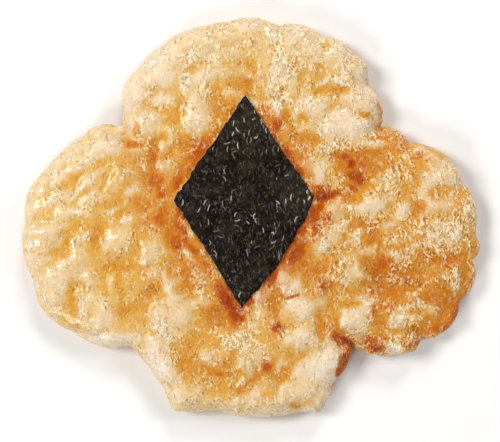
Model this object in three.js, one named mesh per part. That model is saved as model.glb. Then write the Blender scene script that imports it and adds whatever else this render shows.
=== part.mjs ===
// A puffed rice cracker shaped like the club of playing cards, with a rhombus of nori on top.
// Millimetres, +Z up. The cracker lies flat, shown side up, with its short stem towards -Y.
// The origin is the middle of the outline, on the surface that the cracker rests on.

import * as THREE from 'three';

// Driving dimensions of the cracker
const RIM_HEIGHT = 2.3;
const SHOULDER_HEIGHT = 4.5;
const CROWN_HEIGHT = 5.6;
const CROWN_RADIUS = 27;
const TOP_ROUNDING = 3.4;
const UNDERSIDE_ROUNDING = 2.6;

// Driving dimensions of the grains that stand out of the puffed rice
const GRAIN_PITCH = 4.8;
const GRAIN_LENGTH = 3.6;
const GRAIN_WIDTH = 2.3;
const GRAIN_HEIGHT = 1.1;
const GRAIN_UNEVENNESS = 0.22;
const DIMPLE_DEPTH = 0.5;
const RESTING_PAD_RADIUS = 7;

// Driving dimensions of the nori
const NORI_THICKNESS = 0.35;
const NORI_GAP = 0.3;
const NORI_SEAT_RELIEF = 0.85;
const NORI_SEAT_MARGIN = 0.3;
const NORI_SEAT_FADE = 1.6;
const NORI_CORNERS = [[-0.55, 15.3], [-9.55, 2.2], [-1.05, -11.2], [7.8, 2.7]];

// Mesh fineness
const RIM_STEP = 1.15;
const SKIN_STEP = 1.2;
const TOP_INSETS = [0.3, 0.8, 1.5, 2.4];
const UNDERSIDE_INSETS = [0.4, 1.0, 1.9];
const TOP_RINGS = 18;
const UNDERSIDE_RINGS = 11;
const NORI_CELLS = 10;

// The rim is a row of puffed grains, clockwise from the upper left notch. An entry is the nick
// where a grain starts, as x and y, and the grain's bulge beyond the line to the next nick.
const TOP_LOBE = [
  [-15.8, 10.6, 0.2],
  [-15.7, 14.0, 0.9],
  [-13.8, 18.9, 0.3],
  [-10.8, 21.6, 0.2],
  [-8.6, 23.3, 0.2],
  [-2.3, 24.8, 0.7],
  [3.7, 24.2, 0.8],
  [9.4, 22.9, 0.5],
  [13.3, 20.8, 1.0],
  [14.8, 16.8, 1.5],
];
const RIGHT_LOBE = [
  [16.1, 11.0, 1.0],
  [20.5, 9.3, 1.0],
  [26.7, 5.8, 0.2],
  [27.0, 4.4, 1.0],
  [28.7, -2.0, 0.6],
  [28.6, -5.6, 0.9],
  [26.8, -10.6, 1.4],
  [21.9, -15.5, 0.1],
  [21.1, -16.8, 1.0],
];
const STEM = [
  [13.0, -16.1, 0.7],
  [10.9, -20.6, 0.2],
  [9.8, -23.4, 0.2],
  [9.0, -24.7, 0.1],
  [6.5, -24.7, 0.7],
  [-3.6, -24.6, 0.1],
  [-9.2, -24.5, 0.1],
  [-9.9, -23.7, -0.3],
  [-11.3, -20.9, -0.2],
];
const LEFT_LOBE = [
  [-14.9, -16.4, 0.9],
  [-22.1, -14.6, 0.6],
  [-26.7, -10.6, -0.2],
  [-28.3, -5.6, 0.4],
  [-28.2, -0.6, 1.1],
  [-25.4, 6.2, 0.4],
  [-20.7, 10.3, 0.5],
  [-18.2, 11.5, 0.15],
];

const lerp = THREE.MathUtils.lerp;

// One rim grain: a curve from its nick to the next, bulging to the outside.
function rimGrain([startX, startY, bulge], [endX, endY]) {
  const start = new THREE.Vector2(startX, startY);
  const end = new THREE.Vector2(endX, endY);
  const along = end.clone().sub(start).normalize();
  const outward = new THREE.Vector2(-along.y, along.x);
  const control = start.clone().lerp(end, 0.5).addScaledVector(outward, 2 * bulge);
  return new THREE.QuadraticBezierCurve(start, control, end);
}

// The outline's points, counter-clockwise, with the middle of its bounding box at the origin.
function crackerOutline() {
  const nicks = [...TOP_LOBE, ...RIGHT_LOBE, ...STEM, ...LEFT_LOBE];
  const points = nicks.flatMap((nick, i) => {
    const grain = rimGrain(nick, nicks[(i + 1) % nicks.length]);
    const steps = Math.max(1, Math.round(grain.getLength() / RIM_STEP));
    return grain.getSpacedPoints(steps).slice(0, -1);
  });
  const middle = new THREE.Box2().setFromPoints(points).getCenter(new THREE.Vector2());
  return points.map((point) => point.sub(middle)).reverse();
}

const outline = crackerOutline();

// The outline's point at a share of the way round.
function outlineAt(share) {
  const place = share * outline.length;
  const index = Math.floor(place);
  const next = outline[(index + 1) % outline.length];
  return outline[index % outline.length].clone().lerp(next, place - index);
}

// The distance from a place inside the outline to its nearest edge.
function distanceToRim(x, y) {
  const here = new THREE.Vector3(x, y, 0);
  const nearest = new THREE.Vector3();
  const edge = new THREE.Line3();
  const distances = outline.map((point, i) => {
    const next = outline[(i + 1) % outline.length];
    edge.start.set(point.x, point.y, 0);
    edge.end.set(next.x, next.y, 0);
    return edge.closestPointToPoint(here, true, nearest).distanceTo(here);
  });
  return Math.min(...distances);
}

// Grains lie in a spiral of even spacing, each turned and sized a little differently.
function grainSpiral(reach) {
  const goldenAngle = Math.PI * (3 - Math.sqrt(5));
  const count = Math.round((Math.PI * reach ** 2) / GRAIN_PITCH ** 2);
  return Array.from({ length: count }, (_, i) => {
    const radius = GRAIN_PITCH * Math.sqrt((i + 0.5) / Math.PI);
    return {
      x: radius * Math.cos(i * goldenAngle),
      y: radius * Math.sin(i * goldenAngle),
      turn: 2.1 * i + Math.sin(1.7 * i),
      size: 1 + GRAIN_UNEVENNESS * Math.sin(3.3 * i),
    };
  });
}

const grains = grainSpiral(CROWN_RADIUS + GRAIN_PITCH);

// How far the grains swell at a place: 0 between them, and a grain's own size on its top.
function grainSwell(x, y) {
  const swells = grains.map((grain) => {
    const away = new THREE.Vector2(x - grain.x, y - grain.y);
    away.rotateAround(new THREE.Vector2(), -grain.turn).divideScalar(grain.size);
    const fromTop = (away.x / GRAIN_LENGTH) ** 2 + (away.y / GRAIN_WIDTH) ** 2;
    return grain.size * Math.sqrt(Math.max(0, 1 - fromTop));
  });
  return Math.max(...swells);
}

const noriCorners = NORI_CORNERS.map(([x, y]) => new THREE.Vector2(x, y));

// 1 under the nori, where the rice is level, falling to 0 at a margin outside it.
function noriSeat(x, y) {
  const outside = noriCorners.map((corner, i) => {
    const next = noriCorners[(i + 1) % noriCorners.length];
    const along = next.clone().sub(corner).normalize();
    return (x - corner.x) * along.y - (y - corner.y) * along.x;
  });
  return 1 - THREE.MathUtils.smoothstep(Math.max(...outside), NORI_SEAT_MARGIN, NORI_SEAT_FADE);
}

// A quarter round: 0 at the rim, and 1 from the rounding's radius inward.
function roundedRise(distance, rounding) {
  const inward = Math.min(1, distance / rounding);
  return Math.sqrt(1 - (1 - inward) ** 2);
}

function topHeight(x, y) {
  const rise = roundedRise(distanceToRim(x, y), TOP_ROUNDING);
  const level = lerp(CROWN_HEIGHT, SHOULDER_HEIGHT, (Math.hypot(x, y) / CROWN_RADIUS) ** 2);
  const swell = lerp(grainSwell(x, y), NORI_SEAT_RELIEF, noriSeat(x, y));
  return RIM_HEIGHT + rise * (level - RIM_HEIGHT + GRAIN_HEIGHT * (swell - 0.5));
}

// The underside is flat where the cracker rests, with dimples between its grains. They are the
// same spiral, seen as if the cracker was turned over.
function undersideHeight(x, y) {
  const rise = roundedRise(distanceToRim(x, y), UNDERSIDE_ROUNDING);
  const fromPad = Math.hypot(x, y) / RESTING_PAD_RADIUS;
  const dimple = DIMPLE_DEPTH * Math.max(0, 1 - 1.6 * grainSwell(-x, y));
  return lerp(RIM_HEIGHT, THREE.MathUtils.smoothstep(fromPad, 1, 1.4) * dimple, rise);
}

// Joins two rings of points with triangles, walking round both at the same pace. A ring of one
// point is the middle of a cap.
function stitchRings(inner, outer, triangles) {
  let i = 0;
  let o = 0;
  while (i < inner.size || o < outer.size) {
    const innerPoint = inner.start + (i % inner.size);
    const outerPoint = outer.start + (o % outer.size);
    const innerGoes = o === outer.size || (i < inner.size && (i + 1) / inner.size < (o + 1) / outer.size);
    if (innerGoes) {
      i += 1;
    } else {
      o += 1;
    }
    const moved = innerGoes ? inner.start + (i % inner.size) : outer.start + (o % outer.size);
    if (moved !== innerPoint && moved !== outerPoint) {
      triangles.push(innerPoint, outerPoint, moved);
    }
  }
}

// Joins rings of points, each counter-clockwise seen from above, into one closed skin.
function closedRings(rings) {
  const triangles = [];
  let start = 0;
  for (let i = 0; i < rings.length - 1; i += 1) {
    const inner = { start, size: rings[i].length };
    start += inner.size;
    stitchRings(inner, { start, size: rings[i + 1].length }, triangles);
  }
  const geometry = new THREE.BufferGeometry().setFromPoints(rings.flat());
  geometry.setIndex(triangles);
  geometry.computeVertexNormals();
  return geometry;
}

// One ring of the skin: points evenly round the outline, moved inward and set to their height.
function skinRing(count, moveInward, height) {
  return Array.from({ length: count }, (_, i) => {
    const { x, y } = moveInward(outlineAt(i / count));
    return new THREE.Vector3(x, y, height(x, y));
  });
}

// The rings of one side of the cracker, from near the rim to the point in its middle.
function sideRings(insets, count, height) {
  const nearRim = insets.map((inset) => {
    const moveInward = (point) => point.setLength(point.length() - inset);
    return skinRing(outline.length, moveInward, height);
  });
  const lastInset = insets[insets.length - 1];
  const towardsMiddle = Array.from({ length: count }, (_, i) => {
    const share = 1 - (i + 1) / count;
    const moveInward = (point) => point.setLength(share * (point.length() - lastInset));
    const points = Math.max(1, Math.round((share * outline.length * RIM_STEP) / SKIN_STEP));
    return skinRing(points, moveInward, height);
  });
  return [...nearRim, ...towardsMiddle];
}

function crackerGeometry() {
  const top = sideRings(TOP_INSETS, TOP_RINGS, topHeight).reverse();
  const rim = skinRing(outline.length, (point) => point, () => RIM_HEIGHT);
  const underside = sideRings(UNDERSIDE_INSETS, UNDERSIDE_RINGS, undersideHeight);
  return closedRings([...top, rim, ...underside]);
}

// One face of the nori, as rings that grow from its middle to its cut edge.
function noriRings(lift) {
  const middle = noriCorners[0].clone().lerp(noriCorners[2], 0.5);
  const lifted = ({ x, y }) => new THREE.Vector3(x, y, topHeight(x, y) + lift);
  const rings = [[lifted(middle)]];
  for (let cells = 2; cells <= NORI_CELLS; cells += 2) {
    rings.push(noriCorners.flatMap((corner, side) => {
      const next = noriCorners[(side + 1) % noriCorners.length];
      return Array.from({ length: cells }, (_, i) => {
        const onEdge = corner.clone().lerp(next, i / cells);
        return lifted(middle.clone().lerp(onEdge, cells / NORI_CELLS));
      });
    }));
  }
  return rings;
}

// The nori is a rhombus cut from a thin sheet, which lies over the rice and follows it.
function noriGeometry() {
  return closedRings([...noriRings(NORI_GAP + NORI_THICKNESS), ...noriRings(NORI_GAP).reverse()]);
}

const puffedRice = new THREE.MeshStandardMaterial({ color: 0xdbae72, roughness: 0.45, metalness: 0 });
const driedSeaweed = new THREE.MeshStandardMaterial({ color: 0x2b251f, roughness: 0.6, metalness: 0 });

function namedMesh(name, geometry, material) {
  const mesh = new THREE.Mesh(geometry, material);
  mesh.name = name;
  return mesh;
}

const riceCracker = new THREE.Group();
riceCracker.add(namedMesh('cracker', crackerGeometry(), puffedRice));
riceCracker.add(namedMesh('nori', noriGeometry(), driedSeaweed));

export default riceCracker;
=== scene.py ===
"""A club-shaped puffed rice cracker with a rhombus of nori, lying on a pale table."""

import math

import bpy
import numpy as np
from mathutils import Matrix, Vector


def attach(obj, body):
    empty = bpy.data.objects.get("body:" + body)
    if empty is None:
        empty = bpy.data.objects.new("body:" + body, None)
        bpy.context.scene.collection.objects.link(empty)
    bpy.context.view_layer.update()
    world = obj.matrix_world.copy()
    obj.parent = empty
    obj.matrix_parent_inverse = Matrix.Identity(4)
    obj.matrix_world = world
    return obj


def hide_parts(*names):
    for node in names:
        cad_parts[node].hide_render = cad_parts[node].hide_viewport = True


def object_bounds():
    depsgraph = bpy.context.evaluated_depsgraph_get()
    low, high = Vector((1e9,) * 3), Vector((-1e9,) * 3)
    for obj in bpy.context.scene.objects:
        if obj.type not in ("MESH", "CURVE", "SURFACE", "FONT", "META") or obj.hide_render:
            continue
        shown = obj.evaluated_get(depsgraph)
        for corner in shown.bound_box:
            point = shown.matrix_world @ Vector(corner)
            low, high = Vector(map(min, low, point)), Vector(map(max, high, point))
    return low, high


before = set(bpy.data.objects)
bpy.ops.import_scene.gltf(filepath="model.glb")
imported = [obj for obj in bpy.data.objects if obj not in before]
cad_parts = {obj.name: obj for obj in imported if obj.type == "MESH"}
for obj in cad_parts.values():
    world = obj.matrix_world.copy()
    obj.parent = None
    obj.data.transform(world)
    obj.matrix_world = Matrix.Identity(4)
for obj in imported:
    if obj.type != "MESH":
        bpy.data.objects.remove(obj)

cad_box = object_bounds()

# ------------------------------------------------------------------ sizes, in millimetres
MM = 0.001
GRID_PITCH = 0.245
GRID_MARGIN = 0.7
GRID_TOP = 7.2
MAP_PITCH = 0.1

# The slab that the grains stand on.
HALF_WIDTH = 29
HALF_DEPTH = 25
DEPTH_TO_WIDTH = 0.88
RIM_HEIGHT = 2.3
RIM_WANDER = 0.35
RIM_STEPS = 6
SAME_HEIGHT = 0.001
SAME_KNOT = 0.05
TOP_ROUNDING = 3.0
UNDERSIDE_ROUNDING = 2.4
UNDERSIDE_LEVEL = 0.25
CROWN_LEVEL = 5.5
SHOULDER_LEVEL = 4.3
CROWN_RADIUS = 27.0

# Its grains and hollows; the counts are how many grains are strewn at random. A hollow is the
# shallow depth and, by how amber it is, up to the amber depth more. The warp makes marks uneven.
GRAIN_SEED = 7
GRAIN_BLEND = 0.25
PUFFED_RISE = 0.4
CRUMBLY_RISE = 0.28
SHALLOW_DEPTH = 0.1
AMBER_DEPTH = 0.15
MARK_WARP = 0.5
MARK_WARP_SIZE = 1.7
SMALL_GRAINS = 1300
UNDERSIDE_GRAINS = 330
UNDERSIDE_GRAIN_LEVEL = 1.05
UNDERSIDE_GRAIN_HEIGHT = 1.15
UNDERSIDE_GRAIN_INSET = 2.2
RIM_GRAINS = 150

# Its skin. The negative smoothing passes give back what the others take off. Faces that look down
# by more than the tilt go to the underside's half of the bake map.
UNDERSIDE_TILT = -0.15
BAKE_MARGIN = 0.01
SMOOTHING_PASSES = (0.6, -0.62, 0.6, -0.62, 0.6, -0.55)
FOAM_LIFT = 0.08
CRUST_LIFT = 0.07
SMOOTH_LIFT = 0.04

# The nori. It lies this clearance over the rice, and its lower right side bows out by the bulge.
NORI_CORNERS = ((-0.7, 15.2), (-9.55, 2.2), (-1.05, -11.2), (7.8, 2.7))
NORI_THICKNESS = 0.22
NORI_CLEARANCE = 0.04
NORI_CELL = 0.075
NORI_BULGE = 0.85
NORI_WAVES = 0.05
NORI_EDGE_DROP = 0.05
PIT_DEPTH = 0.045
FIBRE_RISE = 0.06
FIBRE_SEED = 5
LOOSE_FIBRES = 800
FIBRE_SPAN_X = (-9.5, 8.2)
FIBRE_SPAN_Y = (-11.2, 15.3)
FIBRE_REACH = 0.8

# ------------------------------------------------------------------ what shows on the top
# A mark is x, y, half its length and half its width in millimetres, its lean in degrees, and its
# strength.

# Whole puffed grains with a smooth pale skin; the strength is how pale.
PUFFED_GRAINS = (
    # top lobe
    (-12, 18.7, 2.4, 1.7, 62, 0.92), (-14.8, 16, 2.1, 1.4, 65, 0.9), (-15, 12.7, 1.5, 1.2, 80, 0.5),
    (-12.6, 12.5, 1.5, 0.9, 5, 0.8), (-11.5, 14.7, 1, 0.6, 12, 0.95), (-9.9, 14.6, 0.8, 0.6, 0, 0.85),
    (-9.2, 21.8, 1.9, 1.5, 35, 0.62), (-6.8, 22.3, 1.9, 1.2, 40, 0.66), (-5.5, 21.5, 1, 0.8, 0, 0.82),
    (-5.1, 17.9, 1.7, 0.9, 8, 0.92), (-3.3, 22.9, 1.6, 1.2, 5, 0.58), (-0.2, 23.9, 1.8, 1, 0, 0.72),
    (5.9, 22.9, 1.7, 1.5, 0, 0.84), (8.2, 22.5, 1.2, 1, -20, 0.52), (11, 21, 2.3, 1.7, -45, 0.74),
    (13.5, 18.7, 2, 1.1, 85, 0.42), (14.6, 14.4, 2, 1.4, -60, 0.75), (7.7, 13.8, 2.2, 1.8, 15, 0.84),
    (12, 11.8, 2.6, 1.6, 0, 1.1), (-6.9, 13.2, 2.7, 1.8, 82, 0.88), (-6.2, 11.1, 1.2, 0.8, 55, 0.75),
    (-2.5, 15.3, 1.1, 0.7, 60, 0.88), (-11.1, 8.8, 1.5, 0.9, 75, 0.52), (-10.8, 10.5, 1, 0.7, 0, 0.85),
    (-11.2, 6.3, 1, 0.8, 60, 0.55), (-10.6, 18, 1.9, 1.3, 60, 0.96), (-9.8, 20.4, 1.4, 1, 40, 0.92),
    (-14.4, 14.8, 1.6, 1.1, 70, 0.95), (-6.2, 20.4, 1.2, 1, 0, 0.66), (-6.8, 17, 1.3, 0.8, 10, 0.8),
    (-2.4, 20.8, 1.2, 0.8, 0, 0.6), (1.5, 18.9, 1.6, 0.9, 85, 0.5), (5, 21, 1.2, 0.9, 0, 0.7),
    (7.6, 21.2, 1.6, 0.8, -10, 0.68), (5.2, 16.8, 1.6, 0.6, 80, 0.6), (11.5, 19, 1.4, 0.9, -50, 0.66),
    (12.9, 14.6, 1.8, 1, -10, 0.85), (10.8, 17.2, 0.8, 0.5, -10, 0.95), (8.9, 19.9, 1.9, 0.9, -20, 0.75),
    (15, 11.5, 1.6, 0.9, 10, 1), (11.2, 10.7, 2.6, 1.2, -8, 1), (6.9, 11.6, 1.2, 1, 90, 0.68),
    (14.8, 9.2, 2.8, 0.5, -6, 0.72), (25.2, 4.7, 1.3, 0.8, -30, 1), (25.4, -9, 0.9, 0.6, 70, 0.6),
    (14.4, 17.2, 1.6, 1, 75, 0.95), (-13.4, 11.1, 1.9, 1.1, 0, 0.85), (-16.6, 10.6, 1.2, 0.8, 60, 0.85),
    # left lobe
    (-18.9, 10.5, 1.8, 0.9, 0, 0.5), (-18.3, 8.5, 2.5, 1.1, 0, 0.95), (-17.2, 9.5, 0.9, 0.7, 80, 0.75),
    (-22, 8, 1.9, 1.1, 35, 0.6), (-24.4, 6.6, 1.4, 0.9, 40, 0.66), (-26.4, 4.3, 2, 1.2, 60, 0.62),
    (-27.2, 1, 1.8, 1, 85, 0.78), (-23.9, 2.3, 2.4, 0.8, 26, 0.85), (-20.4, 4.2, 2.5, 0.9, 46, 1),
    (-19.9, 2.8, 1.4, 0.8, 20, 0.8), (-22.6, 0.5, 2.8, 0.9, 12, 0.74), (-25.1, -2, 2, 1.2, 10, 0.76),
    (-27.3, -2, 1.1, 1.3, 80, 0.72), (-22, -5.4, 2.6, 1.5, 42, 0.64), (-23.2, -5.2, 1.6, 0.5, 50, 0.98),
    (-27.2, -5.4, 1.4, 0.9, 100, 0.85), (-25.2, -8, 2.5, 1.4, 35, 0.8), (-23.4, -8.7, 1.4, 0.9, 60, 0.88),
    (-16.5, -3, 2, 1.1, 58, 0.52), (-17.9, -2.9, 1.3, 0.6, 70, 1), (-15.6, -0.3, 0.8, 0.7, 0, 0.95),
    (-15, 2.9, 1.5, 0.5, 52, 0.88), (-12.4, -4.2, 2, 1.2, 58, 0.6), (-17.5, -7.8, 0.9, 0.7, 80, 0.86),
    (-20.3, -7.3, 1.6, 1, 10, 0.72), (-20.3, -10.1, 1.5, 0.7, 70, 0.75),
    (-18.8, -11.2, 1.8, 1.1, 95, 0.6), (-25, -10.2, 1.5, 1.2, 30, 0.7), (-18.3, -15.4, 3.4, 1.1, -4, 1.1),
    (-15.9, -15.7, 1.8, 0.8, 5, 1), (-25, -12.5, 1.3, 0.8, -50, 0.6), (-25.8, -5.1, 1.4, 0.7, 20, 0.75),
    (-22.9, -7.9, 1, 0.8, 0, 0.8), (-17.2, -11.9, 1, 0.7, 0, 0.7), (-19, -12.9, 2.2, 1.1, 10, 0.8),
    (-12, -7.2, 0.9, 0.7, 0, 0.4), (-11.4, -11.6, 1.3, 1.4, 0, 0.84), (-9.9, -9, 1.4, 0.9, 80, 1),
    (-9.3, -9.8, 1, 0.8, 0, 0.9), (-10.6, -14.1, 1.1, 0.9, 0, 1.1), (-8.8, -12.4, 1.8, 1.4, 0, 0.74),
    (-14.2, 8, 0.9, 0.7, 0, 0.6), (-16.5, 5.2, 1.8, 1, 50, 0.5), (-6.4, -10.9, 1.2, 0.9, 0, 1.15),
    (-7.5, -5.2, 1, 0.8, 0, 0.5), (-23.8, 4.8, 1.6, 0.7, 42, 0.9), (-20.6, 7, 2.2, 0.7, 25, 0.86),
    (-17.6, 3.2, 1.4, 0.7, 30, 0.55), (-20, 1.9, 1.6, 0.6, 15, 0.55), (-26, -4, 1.8, 0.8, 15, 0.64),
    (-24, -1, 1.2, 0.7, 0, 0.56), (-21, -1.5, 1.1, 0.8, 20, 0.72), (-10, -3.6, 1.4, 0.8, 100, 0.62),
    (-10.2, -7.1, 1.2, 0.9, 90, 0.95), (-9, -10.5, 1.4, 0.9, -20, 0.7), (-12, -15.5, 1.8, 1, -30, 0.88),
    # stem; the grains at (-11.1, -18.5) and (8.9, -18.7), over strength 1, are painted light against the
    # shade on their slopes
    (-11.1, -18.5, 3, 1.4, 118, 1.15), (-9.3, -20.4, 1.1, 0.8, 120, 0.75),
    (-5.3, -17.6, 0.9, 0.8, 0, 0.85), (-3, -17.3, 1.5, 0.7, 0, 0.45), (-0.5, -18.5, 1.4, 1, 0, 0.84),
    (1.3, -17, 1, 0.7, 40, 0.72), (-8, -22.4, 2.3, 1.5, 5, 0.52), (-9.2, -22.6, 1.2, 0.7, 85, 0.8),
    (-3, -23.6, 2.3, 0.9, 0, 0.5), (0.4, -22.4, 1.2, 1, 30, 0.8), (2.8, -22.9, 1.8, 1.2, 0, 0.52),
    (8.9, -18.7, 3.2, 2, 42, 1.2), (9.8, -20.4, 1.4, 0.9, 60, 1), (7, -21.6, 2, 1.2, 30, 0.8),
    (8.8, -22.6, 1.3, 0.9, 60, 0.75), (4.6, -21.4, 1.4, 0.9, 10, 0.62), (5.2, -22.7, 1.2, 0.7, 0, 0.72),
    (6.6, -19.4, 1.4, 1, 60, 1), (2, -24.6, 2.4, 0.7, 0, 0.8), (4, -18, 1.2, 0.8, 40, 0.7),
    (4.6, -8, 2.3, 1.5, -12, 1.1), (6.3, -11.4, 2.2, 1.3, 0, 1), (6.1, -15, 2, 1.6, 5, 1),
    (1.3, -10.2, 1.2, 0.8, 40, 1), (0.9, -11.9, 0.8, 0.6, 0, 0.6),
    # right lobe
    (7.9, 6.1, 2.1, 1.8, 100, 0.62), (8.1, 5.1, 1.1, 0.8, 60, 1), (15.4, 1.6, 2.4, 1.1, 15, 0.88),
    (14.1, 0.9, 1, 0.7, 30, 0.95), (19, 0.8, 1.2, 0.7, 55, 0.95), (10.9, 1.1, 1.7, 1.3, 60, 0.4),
    (11.2, 4.3, 1.2, 0.6, 0, 0.75), (10.6, -1.7, 1.8, 0.9, 30, 0.76), (8.7, -3.8, 1.6, 0.9, 50, 0.92),
    (14.8, -4, 1.2, 0.6, 30, 0.45), (17.2, -1.2, 1.2, 0.5, 20, 0.72), (22.5, 5.4, 1.5, 1.4, 60, 0.92),
    (21.5, 3.3, 1.5, 0.8, 55, 0.84), (25.2, 6.3, 2.3, 1.5, -38, 0.55), (22.4, 8.3, 2.2, 0.8, -25, 0.58),
    (23.9, 1.6, 2, 0.9, 10, 0.62), (21.9, 1.4, 1.1, 0.9, 70, 0.95), (13.2, -7.1, 2.2, 1.2, 82, 0.76),
    (13.1, -12.7, 2.3, 1.6, -55, 0.9), (11.8, -13.2, 0.9, 0.7, 0, 1), (13.7, -10.8, 1.5, 0.9, 20, 1.1),
    (8.7, -10.8, 0.8, 0.6, 90, 0.7), (22.9, -11.5, 1, 0.8, 0, 0.6), (28.1, 0.6, 1.7, 0.7, 95, 0.32),
    (17.7, -5, 1.3, 0.7, 0, 0.78), (17.9, -13.1, 2.2, 0.7, 5, 0.78),
)

# Burst grains with a crumbly, sparkling crust; the strength is how pale.
CRUMBLY_GRAINS = (
    # top lobe
    (-8, 17.6, 1.9, 0.8, 82, 0.85), (-7.3, 19.6, 1.2, 0.8, 60, 0.65), (-4.2, 20, 1, 0.8, 0, 0.72),
    (2.8, 22.5, 1.4, 0.9, 110, 0.7), (3.6, 18.4, 2.2, 1.2, 60, 0.95), (2.6, 16.6, 1.6, 0.9, 85, 0.9),
    (2.9, 13.8, 1.8, 0.8, 105, 1), (0.6, 14.6, 0.7, 0.6, 60, 1), (6.6, 13.7, 1.3, 0.8, 20, 0.85),
    (9.9, 11.1, 1.3, 0.9, 0, 1), (11.8, 17.6, 1.3, 0.5, 88, 0.9), (9, 17, 0.9, 0.4, 35, 1),
    (9.5, 20.9, 0.7, 0.4, -10, 1), (10.3, 8.8, 1.4, 0.8, 0, 0.62),
    # left lobe
    (-21.4, -2.7, 1.5, 0.5, 30, 0.85), (-27.2, -3.4, 1.2, 0.4, 10, 0.95),
    (-21.4, -11.2, 2.1, 0.7, 95, 0.86), (-14, -5.4, 1.5, 0.8, 70, 0.52), (-15.3, -6.8, 1, 0.8, 0, 0.6),
    (-11.4, -13.8, 1.9, 1.2, -30, 0.95), (-6.4, -7.4, 1.6, 1, -40, 0.6), (-12.5, 1.3, 1.2, 0.8, 20, 0.6),
    (-17.3, 0.8, 0.9, 0.5, 45, 0.9), (-24.5, 5.4, 0.7, 0.3, 5, 1), (-7.5, -1.9, 0.9, 0.5, 60, 0.75),
    (-8.4, -4.2, 0.8, 0.3, -35, 1),
    # stem
    (-1.8, -15.8, 3.2, 1.8, 5, 0.48), (3.9, -21.9, 1.1, 0.35, 88, 1), (-2.3, -20.2, 0.8, 0.25, 55, 1),
    (-1.1, -20.7, 1.2, 0.25, 50, 0.35), (-8.7, -15.7, 0.5, 0.25, 85, 1), (7.3, -24.3, 1, 0.4, 0, 0.8),
    (0.5, -13.4, 0.6, 0.4, 0, 0.75), (-1, -12, 0.5, 0.4, 0, 0.8), (2.7, -13.2, 0.6, 0.25, 80, 0.95),
    # right lobe
    (17.4, 4.2, 1.6, 1.2, 0, 0.4), (19.8, -3, 2.6, 1.6, 10, 0.34), (24, -1.9, 2.7, 1.9, 5, 0.6),
    (25.6, -3, 0.8, 0.8, 0, 0.95), (26.9, 0.9, 1.4, 0.8, 110, 0.36), (13, -2.8, 1.9, 0.6, 58, 0.85),
    (24.3, -7, 1.1, 0.7, 20, 0.5), (26, -8, 1.9, 0.7, 82, 0.5), (19.7, -11.9, 2.2, 1, 15, 0.74),
    (20.8, -10.2, 1.2, 0.8, -50, 0.62), (17.8, -16.4, 1.3, 0.9, 5, 1), (18, -14.1, 1.6, 0.8, 0, 0.55),
    (20.6, -15.6, 1.2, 0.7, 20, 0.25), (9.5, -8.4, 1.7, 1.3, 0, 0.35), (9.2, -15.2, 1, 0.8, 0, 0.5),
    (9.3, -0.6, 1.5, 0.8, 90, 0.3), (11.8, -5, 1.3, 0.6, 30, 0.4), (22.4, -8.6, 1, 0.7, 0, 0.2),
    (11.6, -7.9, 0.7, 0.4, 85, 0.6),
)

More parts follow.
